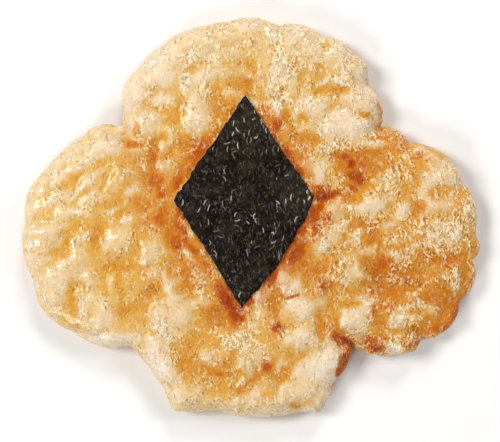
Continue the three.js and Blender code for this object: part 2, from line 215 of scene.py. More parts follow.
# Glassy hollows where the glaze pooled; the strength is how deep its amber is.
AMBER_HOLLOWS = (
    # top lobe
    (-0.1, 19.4, 1, 0.7, 20, 0.45), (-1.5, 17.2, 1.4, 0.5, -20, 0.25), (0.8, 18.6, 1, 0.4, 60, 0.6),
    (-0.5, 16.5, 0.9, 0.9, 0, 1), (-4, 15.6, 1.6, 0.6, 95, 0.6), (-2.9, 14, 1.6, 0.7, 62, 0.85),
    (-1.9, 16.6, 1.1, 0.6, -10, 0.75), (-10.2, 13.2, 1.2, 0.4, 0, 0.45), (-9.6, 12.1, 0.9, 0.5, 0, 0.7),
    (-14.6, 9, 1.3, 0.5, 0, 0.85), (-14.1, 10.6, 1.2, 0.4, 85, 0.6), (-12.6, -14.4, 0.9, 0.5, 0, 0.3),
    (-10.8, -9.6, 0.6, 0.4, 0, 0.3), (-17.6, 5.1, 0.9, 0.5, 0, 0.5), (-18.3, 3.3, 0.8, 0.4, 0, 0.25),
    (-8.7, 13.6, 1.3, 0.6, 90, 1), (-4.1, 12.4, 0.9, 0.6, 60, 0.6), (8.8, 18.4, 0.9, 0.4, 85, 0.35),
    (9.4, 21.4, 0.9, 0.5, 60, 0.2), (10.8, 15.9, 1.6, 0.5, -5, 0.9), (6.5, 12.1, 0.9, 0.6, 90, 0.85),
    (6.4, 17.4, 0.9, 0.4, 80, 0.35), (1.8, 14.8, 1.4, 0.4, -10, 0.5), (10.5, 13.9, 0.7, 0.4, 60, 0.3),
    (-7.2, 18.4, 0.9, 0.5, 0, 0.5), (8.5, 15.6, 1, 0.6, 60, 0.8), (14.3, 12.7, 1, 0.5, -10, 0.6),
    (4.6, 12.8, 0.9, 0.7, 60, 0.9), (7.4, 9.9, 1.5, 0.6, -10, 0.8), (-8.4, 9.6, 1.3, 0.8, 40, 0.85),
    # left lobe
    (-20.8, 3, 1.4, 0.5, 35, 0.25), (-17.2, 1.7, 2, 0.6, 22, 0.45), (-16.4, 0.2, 1, 0.6, 20, 0.8),
    (-18.5, -1.8, 1, 0.7, 60, 1), (-21.8, -1.4, 2.2, 0.6, 18, 0.55), (-22.8, -2.8, 1, 0.5, 60, 0.8),
    (-24.2, -4.4, 1.6, 0.5, 12, 0.45), (-23.1, -4.2, 0.9, 0.5, 60, 0.6), (-19.2, -2.6, 2, 0.8, 72, 0.95),
    (-16.6, -6.5, 3.2, 0.8, 8, 0.9), (-16.3, -9, 2, 0.5, 105, 0.8), (-15.2, -11.7, 1.6, 1, 5, 0.65),
    (-12.6, -9.3, 1.4, 0.8, 60, 0.95), (-14, -4, 1.4, 0.7, 60, 0.6), (-18.2, -8.3, 1.4, 0.5, 95, 0.6),
    (-12.7, -11.2, 1.2, 0.6, 60, 0.6), (-14.2, -13, 2, 0.6, 0, 0.25), (-22.2, -10, 1.8, 0.6, 85, 0.8),
    (-15, 7.1, 1.5, 0.8, 10, 0.35), (-13, 1.5, 1.6, 0.6, 35, 0.9), (-10.4, 8, 0.9, 0.6, 50, 0.8),
    (-16.2, 6.2, 2, 0.5, 20, 0.3), (-21.5, 4.6, 1, 0.5, 50, 0.5), (-18.9, 6.5, 1.2, 0.5, 40, 0.4),
    (-12.2, 7.8, 2.6, 0.6, 88, 1), (-11.2, 9.9, 0.9, 0.6, 60, 0.8), (-13.1, 5.2, 0.8, 0.6, 0, 0.5),
    (-12, 4.6, 1.2, 1, 90, 1), (-14.2, 2, 1.1, 0.6, 20, 0.9), (-11, 0.1, 1.9, 1.3, 10, 1),
    (-9.7, -2.6, 1.7, 0.9, 100, 0.85), (-9.6, -6, 1.5, 0.8, 100, 0.6), (-7.8, -7.9, 2.1, 0.9, 105, 1),
    (-8.4, -8.6, 1, 0.7, 0, 1), (3.3, -9.2, 1.1, 0.6, 70, 0.8), (11, 7.2, 1.4, 0.9, 90, 0.95),
    # stem
    (-4.2, -11.9, 2.6, 1.3, -15, 1), (-4.6, -13.7, 2.9, 0.7, -4, 0.85), (-5.4, -15.6, 1.6, 0.7, 0, 0.6),
    (-2.6, -17.2, 1.2, 0.6, 0, 0.7), (-8.3, -17.4, 2, 1.1, 75, 0.85), (-6.6, -19.4, 1.6, 0.8, -10, 0.55),
    (-1.6, -19.5, 1, 0.5, 10, 0.7), (-3.6, -19.8, 1.5, 0.6, -15, 0.8), (2, -18.9, 1.1, 0.7, 50, 1),
    (0.6, -20.3, 1, 0.5, 30, 0.8), (4.2, -19.6, 1.2, 0.7, 60, 0.85), (-1, -21.8, 0.9, 0.4, 20, 0.9),
    (-4, -21.4, 1.6, 0.7, 0, 0.5), (2.2, -22.2, 1, 0.5, 0, 0.5), (5.6, -23.8, 0.8, 0.4, 5, 0.8),
    (4.8, -16.7, 1.3, 0.5, 60, 0.6), (1.8, -15.2, 1.2, 0.7, 20, 0.35), (6.3, -17.3, 1, 0.5, 20, 0.4),
    (3.3, -19.9, 0.7, 0.5, 0, 0.6), (11.4, -14.3, 0.9, 0.5, -30, 0.75), (-3, -18.3, 1.3, 0.6, 0, 0.6),
    (3.3, -10.9, 1.6, 0.8, 90, 0.98), (8.7, -13.2, 2.2, 0.55, 95, 0.75), (-7, -15.6, 2.6, 1, -5, 0.6),
    # right lobe
    (15.2, 8, 3.6, 0.6, 3, 0.8), (6.7, 5.2, 0.9, 0.4, -56, 0.6), (10.8, 2.6, 2, 0.4, 2, 0.3),
    (21.2, 6.6, 1.5, 1, -30, 0.5), (24.2, 3.5, 1.4, 0.5, 15, 0.4), (21, 1.3, 0.9, 0.8, 0, 0.8),
    (13.5, -1.1, 1.3, 0.6, 0, 1), (14.9, -2.3, 1.5, 0.7, 30, 1), (12.6, 2.3, 1.4, 0.8, 0, 1),
    (26.3, 2.3, 1, 0.6, 80, 0.6), (16.2, -6.2, 1.5, 1.3, 0, 1), (23.8, -5.3, 2.8, 0.5, 2, 1),
    (19.8, -6.8, 1.5, 0.7, 0, 0.95), (22.5, -9.6, 1.2, 0.9, 0, 1), (24.6, -10.2, 1.4, 1, 90, 1),
    (16, -12.2, 2.4, 0.9, 90, 0.92), (16.6, -9.2, 1.4, 1, 0, 0.95), (12.2, -10.9, 1.4, 0.6, 0, 0.9),
    (10.6, -12.7, 1.3, 0.6, 100, 0.85), (18.2, -9.8, 1.8, 0.9, 0, 0.95), (20.8, -11.8, 1.2, 0.5, 0, 0.6),
    (18.4, -14.2, 1.2, 0.4, 0, 0.6), (18.6, -3.5, 1.8, 0.5, 12, 0.6), (20.9, -4.6, 1, 0.6, 60, 0.7),
    (21, -2.6, 0.9, 0.5, 0, 0.5), (16, -3.8, 0.9, 0.5, 80, 0.7), (10.8, -8.8, 1.1, 0.4, 0, 0.35),
    (10, -10.4, 1.2, 0.6, 80, 0.7), (27.2, -8, 1.4, 0.6, 70, 0.7), (18.6, -1.4, 1.2, 0.6, 20, 0.6),
    (12.3, -4.1, 0.9, 0.5, 60, 0.4), (12.4, -9.4, 1, 0.6, 0, 0.8), (17.6, -9.3, 1.2, 0.7, 0, 1),
    (23.4, -8.4, 1, 0.5, 0, 0.7), (17.3, 1.3, 0.8, 0.5, 90, 0.3), (28.3, -3.5, 1.5, 0.6, 90, 0.8),
    (14.4, -8.2, 1.6, 0.6, 0, 0.8), (22.6, -12.8, 2.2, 0.7, 25, 0.8), (22.8, -14, 2.2, 0.7, 15, 0.95),
    (14.4, 6.3, 3.8, 1.3, 8, 1), (13.4, 4.1, 2.3, 0.7, -5, 0.95), (18.2, 8.1, 1.4, 0.6, 0, 0.65),
    (8.6, 1.8, 1.3, 0.7, 60, 0.9), (8.3, -6.6, 1.9, 1, 50, 0.95), (26.8, -6.1, 1.7, 0.7, 95, 0.8),
    (19.5, -8.8, 1.2, 0.6, 0, 0.9), (14, -5.9, 1, 0.8, 90, 0.85), (23, -6.6, 1.8, 0.6, 0, 0.6),
    (6.3, -6.3, 1.4, 0.6, 55, 0.45), (18.2, 9.6, 2.2, 0.9, -15, 0.88), (19.2, 3.4, 1.2, 0.6, 90, 0.5),
    (26.4, -10.6, 1.6, 0.8, 70, 0.8), (25, -12.4, 1.4, 0.9, 60, 1), (21.6, -7.5, 0.9, 0.7, 0, 1),
    (-9, 5, 3.2, 0.8, 55, 0.95), (5.5, 8.2, 3.4, 0.55, -56, 0.6), (6.6, -5.2, 2.6, 0.9, 52, 0.85),
    (-6.6, -5.1, 3.6, 0.6, 122, 0.5), (22.6, 8.7, 3, 0.5, -28, 0.5),
)

# Spots, edges and crevices browned by the heat; the strength goes from orange to red-brown.
# Some are painted shade: the dark strips beside the nori's edges and the stem's right wall.
TOAST_AND_SHADE_SPOTS = (
    (-6.6, 8.4, 2.3, 0.7, 55, 0.6), (3, 11, 1.6, 0.8, 50, 0.62), (16.25, 13.2, 1.2, 0.3, 95, 0.45),
    (11.7, 7.6, 0.8, 0.6, 0, 0.75), (12.5, 6.6, 0.8, 0.7, 0, 1), (13.6, 5, 1.3, 0.9, -10, 0.8),
    (9, 2.8, 1.9, 0.7, 5, 1), (-11.1, 0.2, 1.4, 1, 0, 0.45), (-9.2, -3, 1.2, 0.6, 100, 0.6),
    (-12.1, 4.9, 0.8, 0.6, 90, 0.5), (-11.4, 4.2, 0.9, 0.6, 90, 0.5), (-12.2, 7.6, 1, 0.4, 90, 0.5),
    (-14.5, 9, 1.1, 0.5, 0, 0.45), (-11.3, 2.8, 0.8, 0.5, 0, 0.6), (-2.1, -11.3, 2.8, 1.1, 106, 1),
    (-3.3, -9.9, 2.6, 0.9, 118, 0.8), (4.9, -3.6, 5.4, 0.75, 57.5, 0.88),
    (2.7, -7.6, 1.6, 0.55, 57, 0.85), (-0.3, -12, 0.8, 0.5, 50, 0.4), (2, -18.8, 0.9, 0.5, 50, 0.6),
    (3.2, -13.5, 0.8, 0.7, 0, 0.75), (11.6, -15.2, 1.5, 0.45, -30, 1), (12.9, -16.2, 0.5, 0.5, 0, 0.35),
    (11.9, -17.7, 2.2, 0.7, 70, 0.82), (11.1, -19.3, 0.8, 0.5, 70, 0.8), (15.7, -16.3, 1, 0.6, -8, 0.9),
    (16.2, -6.2, 1.2, 1, 0, 0.55), (9.4, -8.5, 1.3, 0.9, 0, 0.5), (8.2, -0.5, 1.8, 0.6, 80, 0.72),
    (25.6, -12.4, 2.2, 0.8, 58, 0.55), (24.9, -6, 0.9, 0.5, 0, 0.45), (17.3, -11.2, 1, 0.6, 0, 0.5),
    (15.2, -11.3, 1.3, 0.5, 90, 0.5), (20.5, -10, 0.9, 0.5, 60, 0.35), (26.5, -4.9, 1.2, 0.4, 0, 0.4),
    (-4.2, -19.7, 1, 0.4, -15, 0.45), (5.3, -9.9, 1.1, 0.25, 20, 0.8), (15, 8, 3, 0.5, 3, 0.22),
    (20.9, 7.6, 1.4, 0.5, 20, 0.4), (12.7, 3.6, 0.9, 0.6, 0, 0.6), (13.9, 6.7, 0.8, 0.5, 0, 0.5),
    (8.5, 3.6, 0.8, 0.5, 0, 0.7), (7.2, -7, 1, 0.5, 50, 0.4), (3.9, -6.8, 1.2, 0.4, 57, 0.3),
    (5.3, 8.2, 0.7, 0.4, -56, 0.5), (17.8, -9.4, 0.9, 0.6, 0, 0.4), (23.4, -14, 1.4, 0.6, 25, 0.45),
    (-0.1, -10.6, 1, 0.4, 57, 0.7), (23.8, -5.3, 2, 0.35, 2, 0.4), (-9.5, 4.2, 2.6, 0.7, 54, 0.42),
    (-9, 4.3, 1.4, 0.5, 55, 0.75), (-2.7, 13, 2, 0.35, 57, 0.45), (5.6, 8, 3.6, 0.5, -56, 0.2),
    (4.5, 8.2, 1.1, 0.45, -56, 0.9), (5.9, 6.2, 1.2, 0.45, -56, 0.8), (3.4, 10, 1, 0.4, -56, 0.7),
    (8, 0.6, 2, 0.7, 58, 0.8), (-6.2, 7.8, 4.6, 0.4, 55.5, 0.6), (20.8, -15.8, 1.8, 0.5, 15, 0.6),
    (14.9, -15.4, 1.3, 0.7, -20, 0.5), (10.8, -15.3, 1.1, 0.5, -30, 0.72), (9.5, 0, 1.3, 0.7, 80, 0.5),
    (-6, -5.2, 2.8, 0.5, 122, 0.15), (-8.6, -1.5, 2, 0.6, -66, 0.65), (-8.6, 0.6, 1, 0.6, -57, 0.75),
    (-7.3, -3.9, 1.6, 0.5, -50, 0.6), (-5.6, -5.9, 1.8, 0.5, -57.6, 0.5), (5.9, -4.5, 1.8, 0.7, 56, 0.8),
    (-3.9, -9.2, 0.7, 0.6, 0, 0.6),
)

# Broad places where the yellow of the rice turns orange and brown; the strength is how far.
WARM_GLOWS = (
    # round the nori
    (-0.2, 17.2, 2, 1.4, 90, 0.6), (-4.2, 14.6, 2.8, 1.2, 60, 0.55), (-7.6, 8.2, 3.6, 1.3, 55, 0.85),
    (-11.6, 4.4, 2.6, 1.6, 90, 0.9), (-13.2, 8, 3.6, 1.3, 90, 0.75), (-15.6, 9.4, 1.8, 0.9, 0, 0.8),
    (-12, 0.3, 4.2, 2.3, -25, 0.7), (-8.8, -3.2, 3.2, 1.3, -52, 0.9), (-8.6, -7.4, 2.4, 1, 105, 0.75),
    (-4.4, -11.4, 2.8, 1.8, -50, 0.8), (-2.4, -11.6, 2.4, 1.2, 100, 1), (2.8, -12, 2.8, 0.9, 95, 0.75),
    (5.6, -3.6, 7, 1.7, 57, 0.9), (8.4, -7.2, 3.4, 1.4, -48, 0.75), (8.9, -12.6, 3.2, 1.1, 92, 0.75),
    (9.4, 2.6, 2.4, 1, 8, 1), (3.2, 12, 1.9, 1, 50, 0.85), (7.3, 9.9, 1.7, 0.9, 0, 0.6),
    # right lobe
    (12.8, 6.6, 2.4, 1.5, -28, 1), (15.4, 8.6, 4.6, 1, 10, 0.8), (18.6, 10.2, 1.8, 0.9, -15, 0.6),
    (16.3, -6.2, 2.4, 2.1, 0, 0.95), (20.4, -7.2, 4.5, 2.4, 0, 0.7), (24.6, -9.8, 3.4, 2.8, 70, 0.8),
    (22.4, -14.4, 3, 1.3, 28, 0.85), (25.4, -12.6, 1.6, 1.2, 60, 0.9), (15.1, -2.3, 1.3, 0.9, 0, 0.75),
    (20.8, 1.3, 1.4, 1.2, 0, 0.7), (12.9, -0.7, 1.4, 0.8, 0, 0.6), (23.6, -5.3, 3.2, 0.9, 0, 0.75),
    (28, -1.6, 4.6, 1.1, 90, 0.65), (26.8, -9.4, 3.4, 1.2, 75, 0.9), (17.8, 10.2, 2.2, 1, -15, 0.8),
    (23.4, 8.2, 3.6, 0.8, -30, 0.45), (14.4, -5.4, 1.4, 1, 90, 0.75), (21.2, 6.6, 1.8, 1.4, 0, 0.45),
    (24.8, 3.4, 2.4, 1, 15, 0.5), (11.6, -15.4, 2, 1.1, -35, 1), (11.6, -18.2, 2.4, 0.8, 72, 1),
    (15.3, -16, 2, 0.9, -12, 0.95), (16.6, -11, 3.4, 1.2, 90, 0.6), (16, 12.6, 1.8, 0.8, 95, 0.6),
    (10.8, 15.8, 2, 1, -8, 0.4),
    # stem
    (-8.6, -17.4, 2.6, 1.9, 80, 0.4), (-5, -19.4, 3, 1.3, -8, 0.6), (-1, -21.6, 1.4, 0.9, 10, 0.6),
    (2, -18.9, 1.8, 1.2, 48, 0.9), (4.8, -18.6, 2.4, 1, 50, 0.6), (5.3, -24, 1.1, 0.6, 5, 0.75),
    # left lobe
    (-12.9, -9, 1.8, 1.2, 30, 0.5), (-15.6, -11.7, 2.6, 1.5, 0, 0.35), (-17, -5.6, 2.6, 1.1, 10, 0.4),
    (-19.7, -2.4, 2.2, 1, 75, 0.35), (-17.6, 2.2, 2.6, 1.2, 20, 0.3),
)

# The brightest fibres on the nori; their near-white colour is partly painted glint.
GLINTING_FIBRES = (
    (7.3, 2.4, 0.3, 0.1, 60, 1), (7, 3.2, 0.25, 0.07, 80, 0.9), (6.7, 2, 0.25, 0.06, 110, 0.8),
    (5, 2.5, 0.45, 0.055, 85, 0.9), (4.4, 2, 0.35, 0.055, 95, 0.8), (2.8, -1.9, 0.22, 0.07, -25, 1),
    (-1.7, 10.9, 0.35, 0.055, -60, 1), (-2.2, 10.4, 0.3, 0.055, 65, 0.9), (0.7, 9.9, 0.3, 0.055, 20, 0.9),
    (-1.6, 8.9, 0.45, 0.055, 95, 0.9), (-2.9, 8.5, 0.35, 0.05, 80, 0.5), (-5.7, 1.9, 0.4, 0.05, 60, 0.8),
    (-5.2, 1.2, 0.45, 0.05, 70, 0.8), (-6.4, 0.9, 0.35, 0.05, 60, 0.7), (-2.4, 2.4, 0.35, 0.05, 85, 0.8),
    (-1.9, 0.4, 0.35, 0.05, 60, 0.8), (0.4, 0.2, 0.4, 0.055, 75, 0.9), (-1.6, -0.4, 0.4, 0.05, 15, 0.7),
    (0.6, -0.4, 0.3, 0.055, 100, 0.8), (5.6, -0.2, 0.45, 0.055, 65, 0.8),
    (1.6, -1.6, 0.35, 0.05, 100, 0.7), (-1.4, -9.6, 0.4, 0.055, 70, 0.8),
    (-2.1, 11.7, 0.35, 0.055, 80, 0.8), (1.4, 11.9, 0.3, 0.055, 70, 0.8),
    (1.9, 10.8, 0.35, 0.055, 100, 0.9), (0.4, 12.2, 0.25, 0.055, 30, 0.7),
    (-0.8, 12.1, 0.3, 0.055, 95, 0.7), (2.6, 10.9, 0.25, 0.05, 50, 0.9),
    (-0.4, -4.4, 0.5, 0.05, 100, 0.4), (-4.3, -4.4, 0.45, 0.05, 120, 0.6),
    (2.9, -3.1, 0.4, 0.05, 20, 0.6),
)

# Places where the nori has a painted grey sheen and more fibres, and places that are darker where the
# share is negative:
# x, y, how far they reach, and that share.
SHEEN_PLACES = (
    (5.4, 3.2, 2.3, 1), (0.3, 11.8, 2.2, 1), (-2.4, 11.4, 1.4, 0.4), (0.8, 6.9, 1.3, 0.5),
    (-1, -8.5, 1.2, 0.7), (-4.4, -6.3, 0.9, 0.6), (-4.3, 1.5, 1.3, -0.6), (2.9, 4.8, 1.5, -0.7),
    (-0.1, -3.4, 1, -0.6), (3.2, -4.6, 0.9, -0.6), (-2.6, -6.4, 1.4, -0.4),
)


# ------------------------------------------------------------------ noise and soft steps
def smoothstep(low, high, value):
    """0 below low and 1 above high, eased between; low may be the larger."""
    share = np.clip((value - low) / (high - low), 0, 1)
    return share * share * (3 - 2 * share)


def mix(first, second, share):
    return first + (second - first) * share


# The primes that scatter the bits of a seed, of each axis and of their mixture.
SEED_PRIME = 374761393
AXIS_PRIMES = (668265263, 2147483647, 1274126177)
MIXING_PRIME = np.uint64(2246822519)
LOW_BITS = np.uint64(0xFFFFFFFF)


def lattice(cells, seed):
    """A steady random number from 0 to 1 for each whole-number cell, given as a list of axes."""
    mixed = np.full(cells[0].shape, SEED_PRIME * (seed + 1) & int(LOW_BITS), np.uint64)
    for axis, prime in zip(cells, AXIS_PRIMES):
        whole = axis.astype(np.int64).astype(np.uint64)
        mixed = (mixed ^ (whole * np.uint64(prime))) & LOW_BITS
        mixed = ((mixed ^ (mixed >> np.uint64(15))) * MIXING_PRIME) & LOW_BITS
        mixed = mixed ^ (mixed >> np.uint64(13))
    return mixed.astype(np.float64) / int(LOW_BITS)


def lumps(places, size, seed):
    """Smooth noise from -1 to 1 at places, a list of coordinate axes, with lumps of about size."""
    scaled = [axis / size for axis in places]
    low = [np.floor(axis) for axis in scaled]
    share = [s - l for s, l in zip(scaled, low)]
    ease = [s * s * (3 - 2 * s) for s in share]
    total = 0
    for corner in np.ndindex(*(2,) * len(places)):
        weight = 1
        for step, e in zip(corner, ease):
            weight = weight * (e if step else 1 - e)
        total = total + weight * lattice([l + step for l, step in zip(low, corner)], seed)
    return 2 * total - 1


def rough(places, size, seed, octaves=3):
    """Lumps on lumps, each octave half as large and half as high."""
    return sum(lumps(places, size / 2**i, seed + i) / 2**i for i in range(octaves))


def bubbles(places, size, seed):
    """Distance to the nearest of a scatter of points, about 0 at a point and 1 between them."""
    scaled = [axis / size for axis in places]
    cell = [np.floor(axis) for axis in scaled]
    nearest = np.full(scaled[0].shape, 9.0)
    for step in np.ndindex(*(3,) * len(places)):
        near = [c + s - 1 for c, s in zip(cell, step)]
        away = 0
        for axis, (c, s) in enumerate(zip(near, scaled)):
            away = away + (c + lattice(near, seed + 17 * axis) - s) ** 2
        nearest = np.minimum(nearest, away)
    return np.sqrt(nearest)


# ------------------------------------------------------------------ the outline and flat maps
def rim_line():
    """The rim of the CAD cracker as a smooth closed line, counter-clockwise, in millimetres."""
    corners = np.array([v.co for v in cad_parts["cracker"].data.vertices]) / MM
    at_rim = corners[np.abs(corners[:, 2] - RIM_HEIGHT) < SAME_HEIGHT][:, :2]
    turned = at_rim[np.argsort(np.arctan2(at_rim[:, 1], at_rim[:, 0]))]
    apart = np.linalg.norm(turned - np.roll(turned, 1, axis=0), axis=1) > SAME_KNOT
    knots = turned[apart]
    share = np.linspace(0, 1, RIM_STEPS, endpoint=False)[None, :, None]
    before, here, after, beyond = (np.roll(knots, 1 - i, axis=0)[:, None, :] for i in range(4))
    bend = 2 * before - 5 * here + 4 * after - beyond
    swing = -before + 3 * here - 3 * after + beyond
    line = here + 0.5 * share * (after - before + share * (bend + share * swing))
    return line.reshape(-1, 2)


def grid_axis(low, high, pitch):
    return np.arange(low, high + pitch, pitch)


def inside_distance(x, y, line):
    """How far each place lies inside the closed line; negative outside it."""
    nearest = np.full(x.shape, 1e9)
    for start, end in zip(line, np.roll(line, -1, axis=0)):
        along = end - start
        share = ((x - start[0]) * along[0] + (y - start[1]) * along[1]) / (along @ along)
        share = np.clip(share, 0, 1)
        gap = (x - start[0] - share * along[0]) ** 2 + (y - start[1] - share * along[1]) ** 2
        nearest = np.minimum(nearest, gap)
    turn = np.arctan2(line[:, 1], line[:, 0])
    order = np.argsort(turn)
    reach = np.interp(np.arctan2(y, x), turn[order], np.hypot(*line[order].T), period=2 * math.pi)
    return np.sqrt(nearest) * np.where(np.hypot(x, y) < reach, 1, -1)


class FlatMap:
    """Values on an even grid over the cracker, read back at any place."""

    def __init__(self, pitch):
        low, high = (Vector(corner) / MM for corner in cad_box)
        self.pitch = pitch
        self.xs = grid_axis(low.x - GRID_MARGIN, high.x + GRID_MARGIN, pitch)
        self.ys = grid_axis(low.y - GRID_MARGIN, high.y + GRID_MARGIN, pitch)
        self.x, self.y = np.meshgrid(self.xs, self.ys, indexing="ij")
        octaves = 2 if pitch == GRID_PITCH else 4
        self.warp_x = MARK_WARP * rough([self.x, self.y], MARK_WARP_SIZE, 11, octaves)
        self.warp_y = MARK_WARP * rough([self.x, self.y], MARK_WARP_SIZE, 21, octaves)

    def mark(self, x, y, length, width, lean, reach, sway=1.0):
        """The window round a mark, and each place's distance from it in half-sizes."""
        far = reach * max(length, width) + 1
        i0, i1 = np.searchsorted(self.xs, (x - far, x + far))
        j0, j1 = np.searchsorted(self.ys, (y - far, y + far))
        window = np.s_[i0:i1, j0:j1]
        dx = self.x[window] + self.warp_x[window] * sway * min(1, width) - x
        dy = self.y[window] + self.warp_y[window] * sway * min(1, width) - y
        c, s = math.cos(math.radians(lean)), math.sin(math.radians(lean))
        return window, (dx * c + dy * s) / length, (dy * c - dx * s) / width

    def read(self, values, x, y):
        """values at x and y, blended from the four grid places round them."""
        i = np.clip((x - self.xs[0]) / self.pitch, 0, len(self.xs) - 1.001)
        j = np.clip((y - self.ys[0]) / self.pitch, 0, len(self.ys) - 1.001)
        i0, j0 = i.astype(int), j.astype(int)
        u, v = i - i0, j - j0
        left = mix(values[i0, j0], values[i0, j0 + 1], v)
        right = mix(values[i0 + 1, j0], values[i0 + 1, j0 + 1], v)
        return mix(left, right, u)


def bordered(values, axis, before, after):
    """A flat map with its first and last cells along an axis repeated that many times."""
    return np.pad(values, [(before, after) if a == axis else (0, 0) for a in (0, 1)], mode="edge")


def blurred(values, radius):
    """A flat map averaged over a few passes of a box of that radius in cells."""
    for _ in range(3):
        for axis in (0, 1):
            total = np.cumsum(bordered(values, axis, radius + 1, radius), axis=axis)
            size = values.shape[axis]
            high = np.take(total, range(2 * radius + 1, 2 * radius + 1 + size), axis=axis)
            low = np.take(total, range(size), axis=axis)
            values = (high - low) / (2 * radius + 1)
    return values


# ------------------------------------------------------------------ carving the puffed rice
def joined(here, added, rounding=1):
    """The higher of two shapes at each place, filled out by the rounding where they meet."""
    share = np.clip(0.5 + 0.5 * (added - here) / GRAIN_BLEND, 0, 1)
    return mix(here, added, share) + GRAIN_BLEND * share * (1 - share) * rounding


class RiceField:
    """A block of cells, each with its distance inside the rice, shaped grain by grain."""

    def __init__(self, line):
        self.flat = FlatMap(GRID_PITCH)
        self.zs = grid_axis(-2 * GRID_PITCH, GRID_TOP, GRID_PITCH)
        self.rim = inside_distance(self.flat.x, self.flat.y, line)
        self.inside = self.slab()

    def slab(self):
        """The distance inside a round-edged slab whose top carries the relief of the grains."""
        x, y = self.flat.x, self.flat.y
        middle = RIM_HEIGHT + RIM_WANDER * lumps([x, y], 5, 31)
        level = mix(CROWN_LEVEL, SHOULDER_LEVEL, (x**2 + y**2) / CROWN_RADIUS**2) + self.grain_relief()
        bottom = UNDERSIDE_LEVEL + 0.2 * lumps([x, y], 3, 33)
        up, down = level - middle, middle - bottom
        z = self.zs[None, None, :] - middle[:, :, None]
        above = z > 0
        tall = np.where(above, z / up[:, :, None], -z / down[:, :, None])
        rounding = np.where(above, TOP_ROUNDING, UNDERSIDE_ROUNDING)
        wide = np.maximum(0, 1 - self.rim[:, :, None] / rounding)
        thick = np.where(above, up[:, :, None], down[:, :, None])
        return (1 - np.sqrt(wide**2 + tall**2)) * thick

    def grain_relief(self):
        """How much higher or lower the grains and hollows make each place of the top."""
        raised = np.zeros_like(self.flat.x)
        for grains, rise in ((PUFFED_GRAINS, PUFFED_RISE), (CRUMBLY_GRAINS, CRUMBLY_RISE)):
            for x, y, length, width, lean, _ in grains:
                height = rise * min(1, 0.4 + 0.5 * width)
                self.raise_dome(raised, x, y, 1.25 * length, 1.25 * width, lean, height)
        draw = np.random.default_rng(GRAIN_SEED)
        for _ in range(SMALL_GRAINS):
            x, y = draw.uniform(-HALF_WIDTH, HALF_WIDTH), draw.uniform(-HALF_DEPTH, HALF_DEPTH)
            length, width = draw.uniform(0.5, 1.5), draw.uniform(0.35, 0.75)
            self.raise_dome(raised, x, y, length, width, draw.uniform(0, 180), draw.uniform(0.03, 0.18))
        for x, y, length, width, lean, depth in AMBER_HOLLOWS:
            window, along, across = self.flat.mark(x, y, 1.3 * length, 1.5 * width, lean, 2)
            raised[window] -= (SHALLOW_DEPTH + AMBER_DEPTH * depth) * np.exp(-(along**2) - across**2)
        return blurred(raised, 1) + 0.2 * lumps([self.flat.x, self.flat.y], 4, 32)

    def raise_dome(self, raised, x, y, length, width, lean, rise):
        """Lays a smooth dome on the relief; where domes meet, the higher one shows."""
        window, along, across = self.flat.mark(x, y, length, width, lean, 1.1)
        dome = rise * np.maximum(0, 1 - along**2 - across**2) ** 1.2
        raised[window] = joined(raised[window], dome, dome > 0)

    def egg(self, x, y, z, length, width, height, lean):
        """The window round an egg-shaped grain, and the distance inside it."""
        window, along, across = self.flat.mark(x, y, length, width, lean, 1.3, 0.3)
        k0, k1 = np.searchsorted(self.zs, (z - 1.4 * height, z + 1.4 * height))
        tall = (self.zs[k0:k1] - z) / height
        far = np.sqrt((along**2 + across**2)[:, :, None] + tall**2)
        return (*window, slice(k0, k1)), (1 - far) * min(width, height)

    def add_egg(self, *shape):
        window, egg = self.egg(*shape)
        self.inside[window] = joined(self.inside[window], egg)

    def rest_flat(self):
        """Cuts off what would reach below the table."""
        self.inside = np.minimum(self.inside, self.zs[None, None, :])

    def top(self):
        """The height of the top of the rice over each place of the flat grid; 0 outside."""
        solid = self.inside > 0
        last = len(self.zs) - 1 - np.argmax(solid[:, :, ::-1], axis=2)
        i, j = np.indices(last.shape)
        here = self.inside[i, j, last]
        beyond = self.inside[i, j, np.minimum(last + 1, len(self.zs) - 1)]
        share = here / np.maximum(here - beyond, 1e-6)
        return np.where(solid.any(axis=2), self.zs[last] + GRID_PITCH * share, 0)


def carve_rice(line):
    """The slab with egg-shaped grains under it and along its rim."""
    draw = np.random.default_rng(GRAIN_SEED)
    rice = RiceField(line)
    low, high = rice.flat.xs[0], rice.flat.xs[-1]
    for _ in range(UNDERSIDE_GRAINS):
        x, y = draw.uniform(low, high), draw.uniform(low, high) * DEPTH_TO_WIDTH
        length, width = draw.uniform(1.2, 2.6), draw.uniform(0.9, 1.5)
        lean, lift = draw.uniform(0, 180), draw.uniform(-0.1, 0.2)
        if rice.flat.read(rice.rim, np.array(x), np.array(y)) > UNDERSIDE_GRAIN_INSET:
            level = UNDERSIDE_GRAIN_LEVEL + lift
            rice.add_egg(x, y, level, length, width, UNDERSIDE_GRAIN_HEIGHT, lean)
    for turn in np.linspace(0, len(line), RIM_GRAINS, endpoint=False):
        z, size = draw.uniform(1.0, 3.4), draw.uniform(0.7, 1.15)
        at_rim = line[int(turn)]
        x, y = at_rim * (1 - (size + draw.uniform(0.05, 0.3)) / np.hypot(*at_rim))
        rice.add_egg(x, y, z, size, size * 0.9, draw.uniform(0.6, 1.1), draw.uniform(0, 180))
    rice.rest_flat()
    return rice


